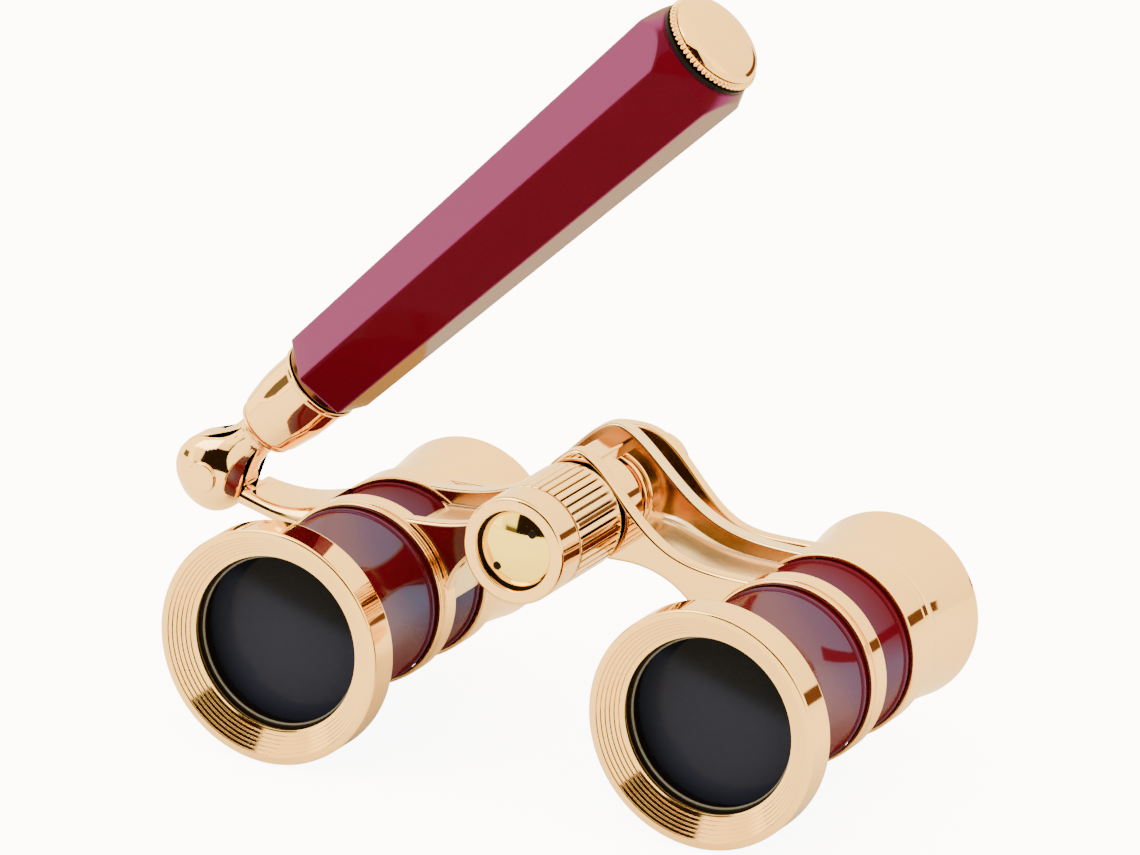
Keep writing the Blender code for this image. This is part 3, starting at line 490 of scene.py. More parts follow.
ROSE = polished_metal("polished_rose_gold", (0.89, 0.60, 0.235), (0.87, 0.56, 0.205))
# Painted shade on the rear wall's front face, browner towards its crest.
SHADED = shade_painted_metal("rear_wall_with_painted_shade", (0.84, 0.66, 0.38), (0.40, 0.17, 0.055), 0.14, 0.24)
WEB = polished_metal("satin_pale_web", (0.78, 0.66, 0.42), (0.74, 0.61, 0.37), 0.16, 0.26, 0.9)
# Painted shade in the flute valleys of the knob.
KNURL = shade_painted_metal("flutes_with_painted_shade", (0.88, 0.62, 0.26), (0.10, 0.045, 0.022))
PALE = polished_metal("polished_pale_gold", (0.87, 0.70, 0.15), (0.85, 0.66, 0.11), 0.03, 0.05)
ENAMEL = violet_enamel("burgundy_enamel")
PEARL_ENAMEL = pearl_enamel("pearl_burgundy_enamel")
BLACK = dark_ring("black_anodised", (0.0022, 0.0020, 0.0020), 0.32, 0.45)
BRONZE = polished_metal("browned_mouth_ring", (0.16, 0.060, 0.022), (0.10, 0.036, 0.014), 0.16, 0.26)
# Painted highlight: a grey ring on the lip of each objective's retaining ring.
LIP_HIGHLIGHT = dark_ring("ring_lip_painted_highlight", (0.090, 0.092, 0.092), 0.30, 0.42)
GLASS = lens_glass("coated_lens")
STEEL = polished_metal("bright_spindle_steel", (0.60, 0.50, 0.38), (0.50, 0.41, 0.30), 0.10, 0.2)
BRASS = polished_metal("turned_brass", (0.72, 0.42, 0.10), (0.64, 0.35, 0.08), 0.18, 0.3)

BY_SLOT = {
    "rose_gold": ROSE,
    "pale_gold": PALE,
    "burgundy_enamel": ENAMEL,
    "black_ring": BLACK,
    "optical_glass": GLASS,
    "spindle_steel": STEEL,
    "bush_brass": BRASS,
}


def dress_frame_nodes():
    """Every CAD node takes its slot's material, also where a finer piece replaces it."""
    for row in frame["record"]["subparts"]:
        node = frame["nodes"][row["node"]]
        node.data.materials.clear()
        node.data.materials.append(BY_SLOT[row["material_slot"]])


# Barrels


def barrel_line():
    """Spigot, flare, two beads and the plain bore inside. The flare's radius is the tube's
    plus the cone's excess times (1 - t) ^ CONE_POWER, and each bead is a half ellipse."""
    spigot = BEZEL_R - 1.35
    start = BEZEL_SKIRT + CONE_GAP
    t = np.linspace(0, 1, 40)
    flare = BARREL_R + (CONE_R - BARREL_R) * (1 - t) ** CONE_POWER
    cone = np.stack([flare, start + t * CONE_LENGTH], 1)
    cone[0] = (CONE_R, start + 0.25)
    seat = [[LENS_SEAT_R, BARREL_START], [spigot, BARREL_START], [spigot, start]]
    outline = [seat, [[CONE_R - 0.25, start]], cone]
    for middle in (COLLAR_START - BEAD_WIDTH, WALL_REAR - BEAD_WIDTH):
        s = np.linspace(-1, 1, 13)
        bead = BARREL_R + BEAD_RISE * np.sqrt(np.maximum(0, 1 - s**2))
        outline.append(np.stack([bead, middle + s * BEAD_WIDTH / 2], 1))
    back = OBJECTIVE_END + CLEAR
    outline.append([[BARREL_R, BARREL_END], [BORE_R, BARREL_END], [BORE_R, start + CONE_LENGTH]])
    outline.append([[11.5, back + 2.0], [11.5, back], [LENS_SEAT_R, back]])
    return np.concatenate(outline)


def bezel_line():
    """A rounded band whose face falls to the aperture in equal rings. Each ring is a short
    drop at its foot, then a tread that slopes gently to the next crest."""
    steps = 6
    first = BEZEL_R - 0.35 - 0.7
    step_r = (first - APERTURE_R - 0.25) / steps
    step_y = (BEZEL_REACH - 0.12) / steps
    k = np.arange(steps)
    outer = first - k * step_r
    depth = -BEZEL_REACH + k * step_y
    crest = np.stack([outer, depth], 1)
    foot = np.stack([outer - 0.14 * step_r, depth + 0.66 * step_y], 1)
    low = np.stack([outer - 0.95 * step_r, depth + step_y], 1)
    stairs = np.stack([crest, foot, low], 1).reshape(-1, 2)
    lip = [[APERTURE_R, -0.06], [APERTURE_R, 0.8]]
    thread = BEZEL_R - 1.2
    band = [[thread, 0.8], [thread, BEZEL_SKIRT], [BEZEL_R, BEZEL_SKIRT], [BEZEL_R, -BEZEL_REACH]]
    points = np.concatenate([stairs, lip, band])
    soft = np.full(len(points), 0.03)
    soft[-2:] = 0.4
    soft[-4:-2] = 0.1
    return rounded(points, soft, 5, 0.02)


def shade_lens(lens, x):
    """The attribute "depth" is a logistic step, 1 / (1 + exp(d / 0.6)), where d is a point's
    height above a slanted line across the lens: painted shade above it, painted light below."""
    mark(lens, "depth", lambda at: 1 / (1 + np.exp((at[:, 2] - 4.3 + 0.34 * (at[:, 0] - x)) / 0.6)))


def painted_reflection_behind_front_wall(at):
    """Painted reflection: 0.85 above the axis on the barrel's rear length, fading to 0 over 3 mm
    at its middle.
    """
    return 0.85 * (at[:, 1] > WALL_FRONT) * np.clip((at[:, 2] - 1) / 3, 0, 1)


def make_barrel(side, x):
    """The enamelled tube and its stepped bezel, each turned on the optical axis."""
    barrel = skin(f"{side}_barrel_enamel", optical(turn_grid(barrel_line(), 224), x), True)
    mark(barrel, "red_side", painted_reflection_behind_front_wall)
    finish_piece(barrel, "frame", "burgundy_enamel", ENAMEL, f"{side}_barrel_tube")
    bezel = skin(f"{side}_bezel", optical(turn_grid(bezel_line(), 256), x), True)
    finish_piece(bezel, "frame", "rose_gold", ROSE, f"{side}_objective_bezel")


def make_objective(side, x):
    """The black retaining ring with a sawtooth thread inside, a grey ring on its lip as a painted
    highlight, and the lens, whose front falls back as the square of the distance from the axis."""
    inner = OBJECTIVE_R - 1.0
    k = np.arange(5)
    thread = np.stack([inner + 0.12 * (k % 2), RETAINER_START + 0.2 + 0.45 * k], 1)
    front = [[OBJECTIVE_R, RETAINER_START], [inner, RETAINER_START]]
    back = [[inner, RETAINER_END], [OBJECTIVE_R, RETAINER_END]]
    line = rounded(np.concatenate([front, thread, back]), 0.08)
    retainer = skin(f"{side}_lens_ring", optical(turn_grid(line, 160), x), True)
    finish_piece(retainer, "frame", "black_ring", BLACK, f"{side}_objective_retaining_ring")
    # Painted highlight: a grey ring on the retainer's inner lip.
    line = collar_line(inner - 0.22, inner + 0.1, RETAINER_START + 0.2, RETAINER_START + 0.5, 0.1)
    lip = skin(f"{side}_painted_highlight_lip", optical(turn_grid(line, 160), x), True)
    finish_piece(lip, "frame", "black_ring", LIP_HIGHLIGHT)
    t = np.linspace(0, 1, 30)
    face = np.stack([OBJECTIVE_R * t, OBJECTIVE_START + LENS_SAG * t**2], 1)
    line = np.concatenate([face, [[OBJECTIVE_R, OBJECTIVE_END], [0, OBJECTIVE_END]]])
    lens = skin(f"{side}_objective", optical(turn_grid(line, 160), x))
    shade_lens(lens, x)
    finish_piece(lens, "frame", "optical_glass", GLASS, f"{side}_objective_lens")


# Eyepieces


def eyecup_line():
    """A neck that widens as t ^ 1.6 to a rim rounded as a half circle, and a dish round the
    lens whose depth grows as sin ^ 0.8 of the way in."""
    neck = 11.6
    lip = 11.5
    t = np.linspace(0, 1, 24)[1:]
    flare = neck + 0.1 + (CUP_R - neck - 0.1) * t**1.6
    outer = np.stack([flare, CUP_START + 0.4 + t * (CUP_END - 0.5 - CUP_START - 0.4)], 1)
    socket = TUBE_R + CLEAR
    cell = EYE_RING_R + CLEAR
    s = np.linspace(0, 1, 16)
    dish = np.stack([lip - (lip - cell) * s, CUP_END - 3.0 * np.sin(s * np.pi / 2) ** 0.8], 1)
    turn = np.linspace(0, np.pi, 12)[1:-1]
    across = (CUP_R + lip) / 2 + (CUP_R - lip) / 2 * np.cos(turn)
    rim = np.stack([across, CUP_END - 0.5 + 0.5 * np.sin(turn)], 1)
    lens_back = EYE_LENS_START - CLEAR
    step = cell - RING_STEP
    inner = [[cell, lens_back], [step, lens_back], [step, TUBE_END + CLEAR]]
    inner += [[socket, TUBE_END + CLEAR], [socket, CUP_START], [neck - 0.3, CUP_START]]
    inner += [[neck, CUP_START + 0.3]]
    return np.concatenate([outer, rim, dish, inner])


def make_eyepiece(side, x):
    """The eyecup, the sliding tube, the eye lens, whose two faces are hollowed by the square
    of the distance from the rim, and the ring that holds it."""
    cup = skin(f"{side}_cup", optical(turn_grid(eyecup_line(), 224), x), True)
    finish_piece(cup, "eyepiece_carriage", "rose_gold", ROSE, f"{side}_eyecup")
    line = collar_line(TUBE_R - 0.9, TUBE_R, TUBE_START, TUBE_END, 0.1)
    tube = skin(f"{side}_sliding_tube", optical(turn_grid(line, 160), x), True)
    finish_piece(tube, "eyepiece_carriage", "rose_gold", ROSE, f"{side}_drawtube")
    t = np.linspace(0, 1, 24)
    front = np.stack([EYE_RING_R * t, EYE_LENS_START + EYE_LENS_SAG * (1 - t**2)], 1)
    back = np.stack([EYE_RING_R * t[::-1], EYE_LENS_END - EYE_LENS_SAG * (1 - t[::-1] ** 2)], 1)
    lens = skin(f"{side}_eye_lens", optical(turn_grid(np.concatenate([front, back]), 128), x))
    shade_lens(lens, x)
    finish_piece(lens, "eyepiece_carriage", "optical_glass", GLASS, f"{side}_ocular_lens")
    inner = EYE_RING_R - RING_STEP
    line = [[inner, EYE_RING_START], [EYE_RING_R, EYE_RING_START], [EYE_RING_R, EYE_RING_END]]
    line += [[inner + 0.5, EYE_RING_END]]
    ring = skin(f"{side}_eye_ring", optical(turn_grid(rounded(line, 0.12), 128), x), True)
    finish_piece(ring, "eyepiece_carriage", "black_ring", BLACK, f"{side}_ocular_retaining_ring")


# Bridge


def bell(x, crown, shoulder, width):
    """The height of a wall: a crown that falls away as exp(-(|x| / width) ^ 1.8)."""
    return shoulder + (crown - shoulder) * np.exp(-((np.abs(x) / width) ** 1.8))


def front_top(x):
    """The front wall's bell."""
    return bell(x, AXLE_RISE + 8.5, 10.9, 9.3)


def rear_top(x):
    """The rear wall's bell, a little higher and wider."""
    return bell(x, AXLE_RISE + 9.1, 11.9, 10.6)


def carriage_top(x):
    """The sliding plate's bell, flatter at its crown, with the power 2.7."""
    return 11.45 + (AXLE_RISE + 7.7 - 11.45) * np.exp(-((np.abs(x) / 11.1) ** 2.7))


def outward(curve, sign):
    """Unit normals of a row of (x, z) points, a quarter turn from its direction."""
    tangent = np.gradient(curve, axis=0)
    tangent /= np.linalg.norm(tangent, axis=1)[:, None]
    return sign * np.stack([-tangent[:, 1], tangent[:, 0]], 1)


def wall_grid(top, seat_r, front, back, edge, count=150):
    """A flat plate between the nose arch and a bell. Each section runs from the arch to the
    bell, across the plate's rounded top edge and back: position = lower edge times (1 - w)
    plus upper edge times w, pushed out along the edge's normal through a quarter circle at
    each corner. Near a barrel the sections bend to lie on the seat circle."""
    u = np.linspace(0, 1, count) ** 0.9
    foot = HALF - seat_r
    share = 0.3
    t = np.clip((u - share) / (1 - share), 0, 1) * np.pi / 2
    x = np.where(u < share, NOSE_HALF * u / share, NOSE_HALF + (foot - NOSE_HALF) * np.sin(t))
    low = np.stack([x, NOSE_RISE * np.where(u < share, 1.0, np.cos(t))], 1)
    turn = np.linspace(np.pi / 2, np.pi, 400)
    seat = np.stack([HALF + seat_r * np.cos(turn), seat_r * np.sin(turn)], 1)
    meet = seat[np.argmin(np.abs(top(seat[:, 0]) - seat[:, 1]))]
    x_top = meet[0] * u
    high = np.stack([x_top, top(x_top)], 1)
    out_low, out_high = outward(low, -1), outward(high, 1)
    out_low[0], out_high[0] = (0, -1), (0, 1)
    angle = np.linspace(0, np.pi / 2, 7)
    ramp = np.concatenate([[0.004], np.linspace(0.04, 0.96, 12), [0.996]])
    zero = np.zeros_like(ramp)
    side = np.array([0.02, 0.5, 0.98])
    w = np.concatenate([ramp, np.ones(17), ramp[::-1], np.zeros(17)])
    bend = np.concatenate([np.sin(angle), np.ones(3), np.cos(angle)])
    depth = back - front
    y_turn = edge * (1 - np.cos(angle))
    y_out = np.concatenate([y_turn, edge + side * (depth - 2 * edge), depth - y_turn[::-1]])
    push_high = np.concatenate([zero, bend, zero, np.zeros(17)]) * edge
    push_low = np.concatenate([zero, np.zeros(17), zero, bend]) * edge
    y = front + np.concatenate([zero, y_out, zero + depth, y_out[::-1]])
    inner_low = low - edge * out_low
    inner_high = high - edge * out_high
    flat_xz = inner_low[:, None] * (1 - w)[None, :, None] + inner_high[:, None] * w[None, :, None]
    end_turn = np.pi + (np.arctan2(meet[1], meet[0] - HALF) - np.pi) * w
    arc = np.stack([HALF + seat_r * np.cos(end_turn), seat_r * np.sin(end_turn)], 1)
    chord = (1 - w)[:, None] * low[-1] + w[:, None] * high[-1]
    pull = (u**5)[:, None, None] * (arc - chord)[None]
    xz = flat_xz + pull
    xz = xz + push_high[None, :, None] * out_high[:, None] + push_low[None, :, None] * out_low[:, None]
    grid = np.stack([xz[..., 0], np.broadcast_to(y, xz.shape[:2]), xz[..., 1]], -1)
    other = grid[:0:-1] * np.array([-1, 1, 1])
    return np.concatenate([other, grid])


def grooved_collar_line(inner, outer, start, end, edge):
    """A ring's section with a narrow groove round it, close behind its front edge."""
    low = outer - RING_EDGE
    front = [[inner, start], [outer - 0.08, start], [outer - 0.08, start + 0.55], [low, start + 0.65]]
    band = [[low, start + 1.05], [outer, start + 1.15], [outer, end], [inner, end]]
    soft = np.array([edge, edge, 0.1, 0.08, 0.08, 0.1, edge, edge])
    return rounded(np.array(front + band), soft, 5, 0.02)


def web_grid(count=140):
    """The trough between the walls: its floor is the soft minimum of a flat and the front
    bell, a fillet climbs each wall as a quarter circle, and its underside is a half ellipse
    with a flat middle."""
    reach = HALF - 4.0
    x = np.linspace(-reach, reach, count)
    soft = 1.2
    bell_high = front_top(x) - 1.2
    floor = -soft * np.log(np.exp(-WEB_RISE / soft) + np.exp(-bell_high / soft))
    foot = HALF - RING_R + 0.4
    t = np.clip((np.abs(x) - NOSE_HALF) / (foot - NOSE_HALF), 0, 1)
    under = WEB_UNDER_RISE * np.sqrt(np.maximum(0, 1 - t**2))
    fillet = 1.6
    angle = np.linspace(0, np.pi / 2, 8)
    start, end = WALL_FRONT + WALL_T - 0.2, WALL_REAR + 0.2
    y_near = start + fillet * (1 - np.cos(angle))
    rise = fillet * (1 - np.sin(angle))
    y_floor = np.linspace(start + fillet, end - fillet, 5)[1:-1]
    y = np.concatenate([y_near, y_floor, end - (y_near - start)[::-1]])
    up = np.concatenate([rise, np.zeros(3), rise[::-1]])
    climb = np.clip((front_top(x) - 0.5 - floor) / fillet, 0.1, 1)
    high = floor[:, None] + climb[:, None] * up[None]
    top = np.stack(np.broadcast_arrays(x[:, None], y[None], high), -1)
    low = np.stack(np.broadcast_arrays(x[:, None], np.array([end, start])[None], under[:, None]), -1)
    return np.concatenate([top, low], 1)


def arm_grid(count=60):
    """The handle's arm: a rounded bar from the right barrel's rings to the lug. Along t, its
    top is a straight line less a half sine, its depth shrinks as (1 - t) ^ 3 and its width as
    (1 - t) ^ 1.2, and its end is hollowed round the knuckle as t ^ 6."""
    t = np.linspace(0, 1, count)
    root_x, tip_x = -HALF - RING_R * 0.6, HINGE[0] + LUG_R + 0.5
    x = root_x + t * (tip_x - root_x)
    root_top, tip_top = RING_R * 0.8, HINGE[2] - 1.1
    top = root_top + t * (tip_top - root_top) - 1.0 * np.sin(np.pi * t)
    bottom = top - 2.1 - 4.4 * (1 - t) ** 3
    front = np.full(count, WALL_FRONT + 0.2)
    spare = FRAME_END - 0.4 - front[0] - ARM_WIDTH
    rear = front + ARM_WIDTH + spare * (1 - t) ** 1.2
    middle_y, half_y = (front + rear) / 2, (rear - front) / 2
    middle_z, half_z = (top + bottom) / 2, (top - bottom) / 2
    edge = half_z * 0.97
    turn = np.linspace(0, np.pi / 2, 7)
    quarter = np.stack([np.cos(turn), np.sin(turn)], 1)
    rows = []
    for k, sign in enumerate(((1, 1), (-1, 1), (-1, -1), (1, -1))):
        arc = quarter if k % 2 == 0 else quarter[::-1]
        dy = sign[0] * ((half_y - edge)[:, None] + edge[:, None] * arc[None, :, 0])
        dz = sign[1] * ((half_z - edge)[:, None] + edge[:, None] * arc[None, :, 1])
        rows.append(np.stack([dy, dz], -1))
    ring = np.concatenate(rows, 1)
    y = middle_y[:, None] + ring[..., 0]
    z = middle_z[:, None] + ring[..., 1]
    below = np.clip(z - HINGE[2], -4.5, 0)
    knuckle_room = BALL_R + 0.35
    hollow = HINGE[0] + np.sqrt(knuckle_room**2 - below**2) - tip_x
    return np.stack([x[:, None] + hollow * (t**6)[:, None], y, z], -1)


def make_walls():
    """The front wall, and the rear wall, whose front face has painted shade that browns towards its crest."""
    front_grid = wall_grid(front_top, SEAT_R, WALL_FRONT, WALL_FRONT + WALL_T, WALL_EDGE)
    front = skin("bridge_front_wall", front_grid, caps=True)
    finish_piece(front, "frame", "rose_gold", ROSE, "bridge_frame")
    rear_grid = wall_grid(rear_top, SEAT_R, WALL_REAR, FRAME_END, WALL_EDGE)
    rear = skin("bridge_rear_wall", rear_grid, caps=True)

    def painted_crest_shade(at):
        """Painted shade: 1 at the crest, fading evenly to 0 at 7.7 mm below it."""
        below = rear_top(at[:, 0]) - at[:, 2]
        return (at[:, 1] < WALL_REAR + 0.02) * np.clip(1.1 - below / 7, 0, 1)

    mark(rear, "darkened", painted_crest_shade)
    finish_piece(rear, "frame", "rose_gold", SHADED)


def make_web_and_arm():
    """The web between the walls, and the arm out to the handle's lug."""
    web = skin("bridge_web", web_grid(), caps=True)
    finish_piece(web, "frame", "rose_gold", WEB)
    arm = skin("handle_arm", arm_grid(), caps=True)
    finish_piece(arm, "frame", "rose_gold", ROSE)


def make_barrel_rings(side, x):
    """The grooved ring of the front wall and the plain ring of the rear wall."""
    inner = BARREL_R + CLEAR
    end = WALL_FRONT + WALL_T + RIB / 2
    front_line = grooved_collar_line(inner, RING_R, COLLAR_START, end, RING_EDGE)
    front = skin(f"{side}_front_collar", optical(turn_grid(front_line, 224), x), True)
    finish_piece(front, "frame", "rose_gold", ROSE)
    rear_line = collar_line(inner, RING_R, WALL_REAR - RIB / 2, REAR_RING_END, RING_EDGE)
    rear = skin(f"{side}_rear_collar", optical(turn_grid(rear_line, 224), x), True)
    finish_piece(rear, "frame", "rose_gold", ROSE)


def make_hub_and_boss():
    """The screw's hub on the front wall, and the grooved boss on the rear one."""
    bore = 3.4
    start, end = WALL_FRONT + 0.4, WALL_FRONT + WALL_T + 3.6
    hub = skin("screw_hub", on_screw(turn_grid(collar_line(bore, 6.9, start, end, 0.5), 160)), True)
    finish_piece(hub, "frame", "rose_gold", ROSE)
    start, end = WALL_REAR - 2.9, WALL_REAR + 0.4
    boss_r, groove_r = 6.2, 5.4
    line = [[bore, start], [boss_r, start], [boss_r, start + 0.8], [groove_r, start + 1.05]]
    line += [[groove_r, start + 1.35], [boss_r, start + 1.6], [boss_r, end], [bore, end]]
    boss = skin("screw_boss", on_screw(turn_grid(rounded(line, 0.25), 160)), True)
    finish_piece(boss, "frame", "rose_gold", ROSE)


def make_ridge():
    """The straight ridge between the walls' crests: a rounded trapezium along the axis."""
    t = np.linspace(0, 1, 24)
    outline = rounded([[-2.4, 21.4], [2.4, 21.4], [1.92, 23.0], [-1.92, 23.0]], 0.3)
    depth = WALL_FRONT + 1.0 + t * (WALL_REAR - WALL_FRONT)
    grid = np.broadcast_arrays(outline[None, :, 0], depth[:, None], outline[None, :, 1])
    ridge = skin("bridge_ridge", np.stack(grid, -1), caps=True)
    finish_piece(ridge, "frame", "rose_gold", ROSE)


def make_lug():
    """The lug round the hinge pin, and its neck: a rounded bar that falls to the arm."""
    lug_line = collar_line(PIN_BORE_R, LUG_R, -LUG_HALF, LUG_HALF, 0.4)
    lug = skin("handle_lug", on_pin(turn_grid(lug_line, 128)), True)
    finish_piece(lug, "frame", "rose_gold", ROSE)
    t = np.linspace(0, 1, 12)
    x = HINGE[0] + 3.0 + t * 3.4
    z = HINGE[2] - (x - HINGE[0]) / 6.0 * 2.1
    outline = rounded([[-LUG_HALF, -1.5], [LUG_HALF, -1.5], [LUG_HALF, 1.1], [-LUG_HALF, 1.1]], 0.6)
    y = HINGE[1] + outline[None, :, 0]
    grid = np.broadcast_arrays(x[:, None], y, z[:, None] + outline[None, :, 1])
    neck = skin("lug_neck", np.stack(grid, -1), caps=True)
    finish_piece(neck, "frame", "rose_gold", ROSE)


def make_carriage():
    """The sliding plate, its two rings and the nut's barrel with a closed end."""
    grid = wall_grid(carriage_top, 11.5, CARRIAGE_START, CARRIAGE_END, 0.4)
    plate = skin("carriage_plate", grid, caps=True)
    finish_piece(plate, "eyepiece_carriage", "rose_gold", ROSE, "eyepiece_bridge")
    for side, x in SIDES:
        start, end = CARRIAGE_START + 0.02, CARRIAGE_END - 0.02
        line = collar_line(TUBE_R + CLEAR, SEAT_R, start, end, RING_EDGE)
        ring = skin(f"{side}_carriage_ring", optical(turn_grid(line, 224), x), True)
        finish_piece(ring, "eyepiece_carriage", "rose_gold", ROSE)
    floor = NUT_END - 0.8
    line = [[SCREW_BORE_R, floor], [SCREW_BORE_R, NUT_START - 0.02], [NUT_R, NUT_START - 0.02]]
    line += [[NUT_R, NUT_END], [0, NUT_END]]
    line = np.concatenate([[[0, floor]], open_rounded(line, 0.45)])
    nut = skin("nut_barrel", on_screw(turn_grid(line, 128)))
    finish_piece(nut, "eyepiece_carriage", "rose_gold", ROSE, "focus_nut")


# Focusing wheel


def disc_rise(t):
    """The disc's face: a shallow dome, which falls as the square of the way out to its rim."""
    return DISC_START - 0.15 + 0.85 * t**2


def make_knob_band():
    """The smooth band at the wheel's front, recessed for the end disc."""
    recess = DISC_R + CLEAR
    floor = KNOB_BAND_END - 2.7
    line = [[recess, KNOB_START], [KNOB_R, KNOB_START], [KNOB_R, KNOB_BAND_END]]
    line += [[SCREW_BORE_R, KNOB_BAND_END], [SCREW_BORE_R, floor], [recess, floor]]
    edges = [0.22, 0.5, 0.3, 0.1, 0.1, 0.1]
    band = skin("knob_band", on_screw(turn_grid(rounded(line, edges), 192)), True)
    finish_piece(band, "focus_wheel", "rose_gold", ROSE, "knob_front_band")


def make_fluted_knob():
    """The fluted length of the wheel, with painted shade in its valleys, and a black ring behind it as a painted
    shadow.
    """
    flutes, depth, gap = 40, 0.6, 0.4
    start, end = KNOB_FLUTED_START, KNOB_FLUTED_END - gap
    # Painted shadow: a black ring in the gap behind the flutes.
    line = collar_line(SCREW_BORE_R, KNOB_R - 0.75, end - 0.05, end + gap, 0.05)
    washer = skin("knob_painted_shadow_ring", on_screw(turn_grid(line, 128)), True)
    finish_piece(washer, "focus_wheel", "black_ring", BLACK)

    def fluted(r, h, turn):
        """Flat-topped ribs with a parabolic valley after each, fading out at both ends."""
        phase = (turn * flutes / (2 * np.pi)) % 1.0
        valley = np.clip(1 - ((phase - 0.84) / 0.16) ** 2, 0, None)
        fade = np.clip((end - 0.35 - h) / 0.6, 0, 1) * np.clip((h - start - 0.05) / 0.2, 0, 1)
        return r - depth * valley * fade * (r > KNOB_R - 0.6)

    def painted_valley_shade(at):
        """Painted shade in the valleys: 0 on the ribs' tops, and 1 from 0.3 mm below them."""
        radius = np.hypot(at[:, 0], at[:, 2] - AXLE_RISE)
        return np.clip((KNOB_R - 0.1 - radius) / 0.2, 0, 1) * (radius > KNOB_R - 0.7)

    corners = [[SCREW_BORE_R, start], [KNOB_R, start], [KNOB_R, end], [SCREW_BORE_R, end]]
    line = rounded(corners, [0.1, 0.3, 0.45, 0.1])
    half = len(line) // 2
    flat = np.linspace(start + 0.5, end - 1.0, 8)
    along = np.stack([np.full(len(flat), KNOB_R), flat], 1)
    line = np.concatenate([line[:half], along, line[half:]])
    knob = skin("knurled_knob", on_screw(turn_grid(line, flutes * 16, fluted)), True)
    mark(knob, "darkened", painted_valley_shade)
    finish_piece(knob, "focus_wheel", "rose_gold", KNURL, "focus_knob")


def make_end_disc():
    """The domed disc with a black ring as painted shadow round it, and two dished spanner holes in painted shade.
    """
    rim = DISC_R - 0.2
    t = np.linspace(0, 1, 28)
    dome = np.stack([(rim - 0.12) * t, disc_rise(t)], 1)
    line = np.concatenate([dome, [[rim, DISC_START + 0.80], [rim, DISC_END], [0, DISC_END]]])
    disc = skin("knob_disc", on_screw(turn_grid(line, 160)))
    finish_piece(disc, "focus_wheel", "pale_gold", PALE, "knob_end_disc")
    # Painted shadow: a black ring in the gap round the disc.
    line = collar_line(rim - 0.1, DISC_R + CLEAR + 0.1, DISC_START + 0.85, DISC_END - 0.1, 0.04)
    groove = skin("disc_painted_shadow_ring", on_screw(turn_grid(line, 160)), True)
    finish_piece(groove, "focus_wheel", "black_ring", BLACK)
    # Painted shade: shallow black dishes stand for the dark inside of the two spanner holes.
    hole_r, way_out = 0.55, 0.68
    s = np.linspace(0, 1, 12)
    dish = np.stack([hole_r * s, -0.09 - 0.03 * (1 - s**2)], 1)
    line = np.concatenate([dish, [[hole_r, 0.5], [0, 0.5]]])
    reach = DISC_R * way_out * np.cos(np.pi / 4)
    for k, sign in enumerate((-1, 1)):
        middle = (sign * reach, disc_rise(way_out), AXLE_RISE + sign * reach)
        hole = skin(f"spanner_hole_painted_shade_{k}", place(turn_grid(line, 32), middle, (0, 1, 0), (1, 0, 0)))
        finish_piece(hole, "focus_wheel", "black_ring", BLACK)


def make_screw():
    """The focusing screw and the two collars on it."""
    line = [[0, SPINDLE_START], [SPINDLE_R, SPINDLE_START], [SPINDLE_R, SPINDLE_END], [0, SPINDLE_END]]
    spindle = skin("screw_spindle", on_screw(turn_grid(open_rounded(line, 0.3), 96)))
    finish_piece(spindle, "focus_wheel", "spindle_steel", STEEL, "focus_spindle")
    for name in ("spindle_thrust_collar", "spindle_lock_ring"):
        line = collar_line(SCREW_BORE_R, radius_of(name), *along_y(name), 0.12)
        ring = skin(f"{name}_turned", on_screw(turn_grid(line, 128)), True)
        finish_piece(ring, "focus_wheel", "rose_gold", ROSE, name)


# Handle


def knuckle_radius(h):
    """The ball's circle, then a cubic that leaves it along its tangent and is level at the
    waist."""
    leave = 3.3
    ball = np.sqrt(np.maximum(0, BALL_R**2 - np.minimum(h, leave) ** 2))
    t = np.clip((h - leave) / (WAIST - leave), 0, 1)
    start_r = np.sqrt(BALL_R**2 - leave**2)
    slope = -leave / start_r * (WAIST - leave)
    curve = (2 * t**3 - 3 * t**2 + 1) * start_r + (t**3 - 2 * t**2 + t) * slope
    curve = curve + (3 * t**2 - 2 * t**3) * WAIST_R
    return np.where(h < leave, ball, curve)


def in_knuckle(x, y, h):
    """Whether a point lies in the ball and neck: (x / width)^2 + (depth / cheek)^power < 1,
    where the cheek is flatter than the ball and the neck is round again."""
    neck = np.clip((h - 1.5) / (WAIST - 2.5), 0, 1)
    neck = neck**2 * (3 - 2 * neck)
    width = np.maximum(knuckle_radius(h), 1e-6)
    cheek = width * (CHEEK / BALL_R + (1 - CHEEK / BALL_R) * neck)
    inside = (x / width) ** 2 + (y / cheek) ** (3.6 - 1.6 * neck) < 1
    return inside & (h < WAIST) & (h > -BALL_R)


def knuckle_slice(y, slotted, count=161):
    """The outline at one depth y, as (across, along): for each angle round a middle, the
    last point along the ray that is inside the body and outside the pin's slot."""
    middle = 7.4 if slotted else 1.5 * (1 - (y / CHEEK) ** 2)
    angle = np.linspace(0, 2 * np.pi, count, endpoint=False)
    aim = np.stack([np.sin(angle), np.cos(angle)])

    def inside(reach):
        """Whether the points at these distances along the rays are inside."""
        x, h = aim[0, :, None] * reach, middle + aim[1, :, None] * reach
        kept = in_knuckle(x, y, h)
        return kept & (x**2 + h**2 > SLOT_DEPTH**2) if slotted else kept

    steps = np.linspace(0, 12, 601)
    last = np.maximum(np.argmin(inside(steps[None]), axis=1) - 1, 0)
    low, high = steps[last][:, None], steps[last + 1][:, None]
    for _ in range(16):
        half = (low + high) / 2
        kept = inside(half)
        low, high = np.where(kept, half, low), np.where(kept, high, half)
    return np.stack([aim[0] * low[:, 0], middle + aim[1] * low[:, 0]], 1)


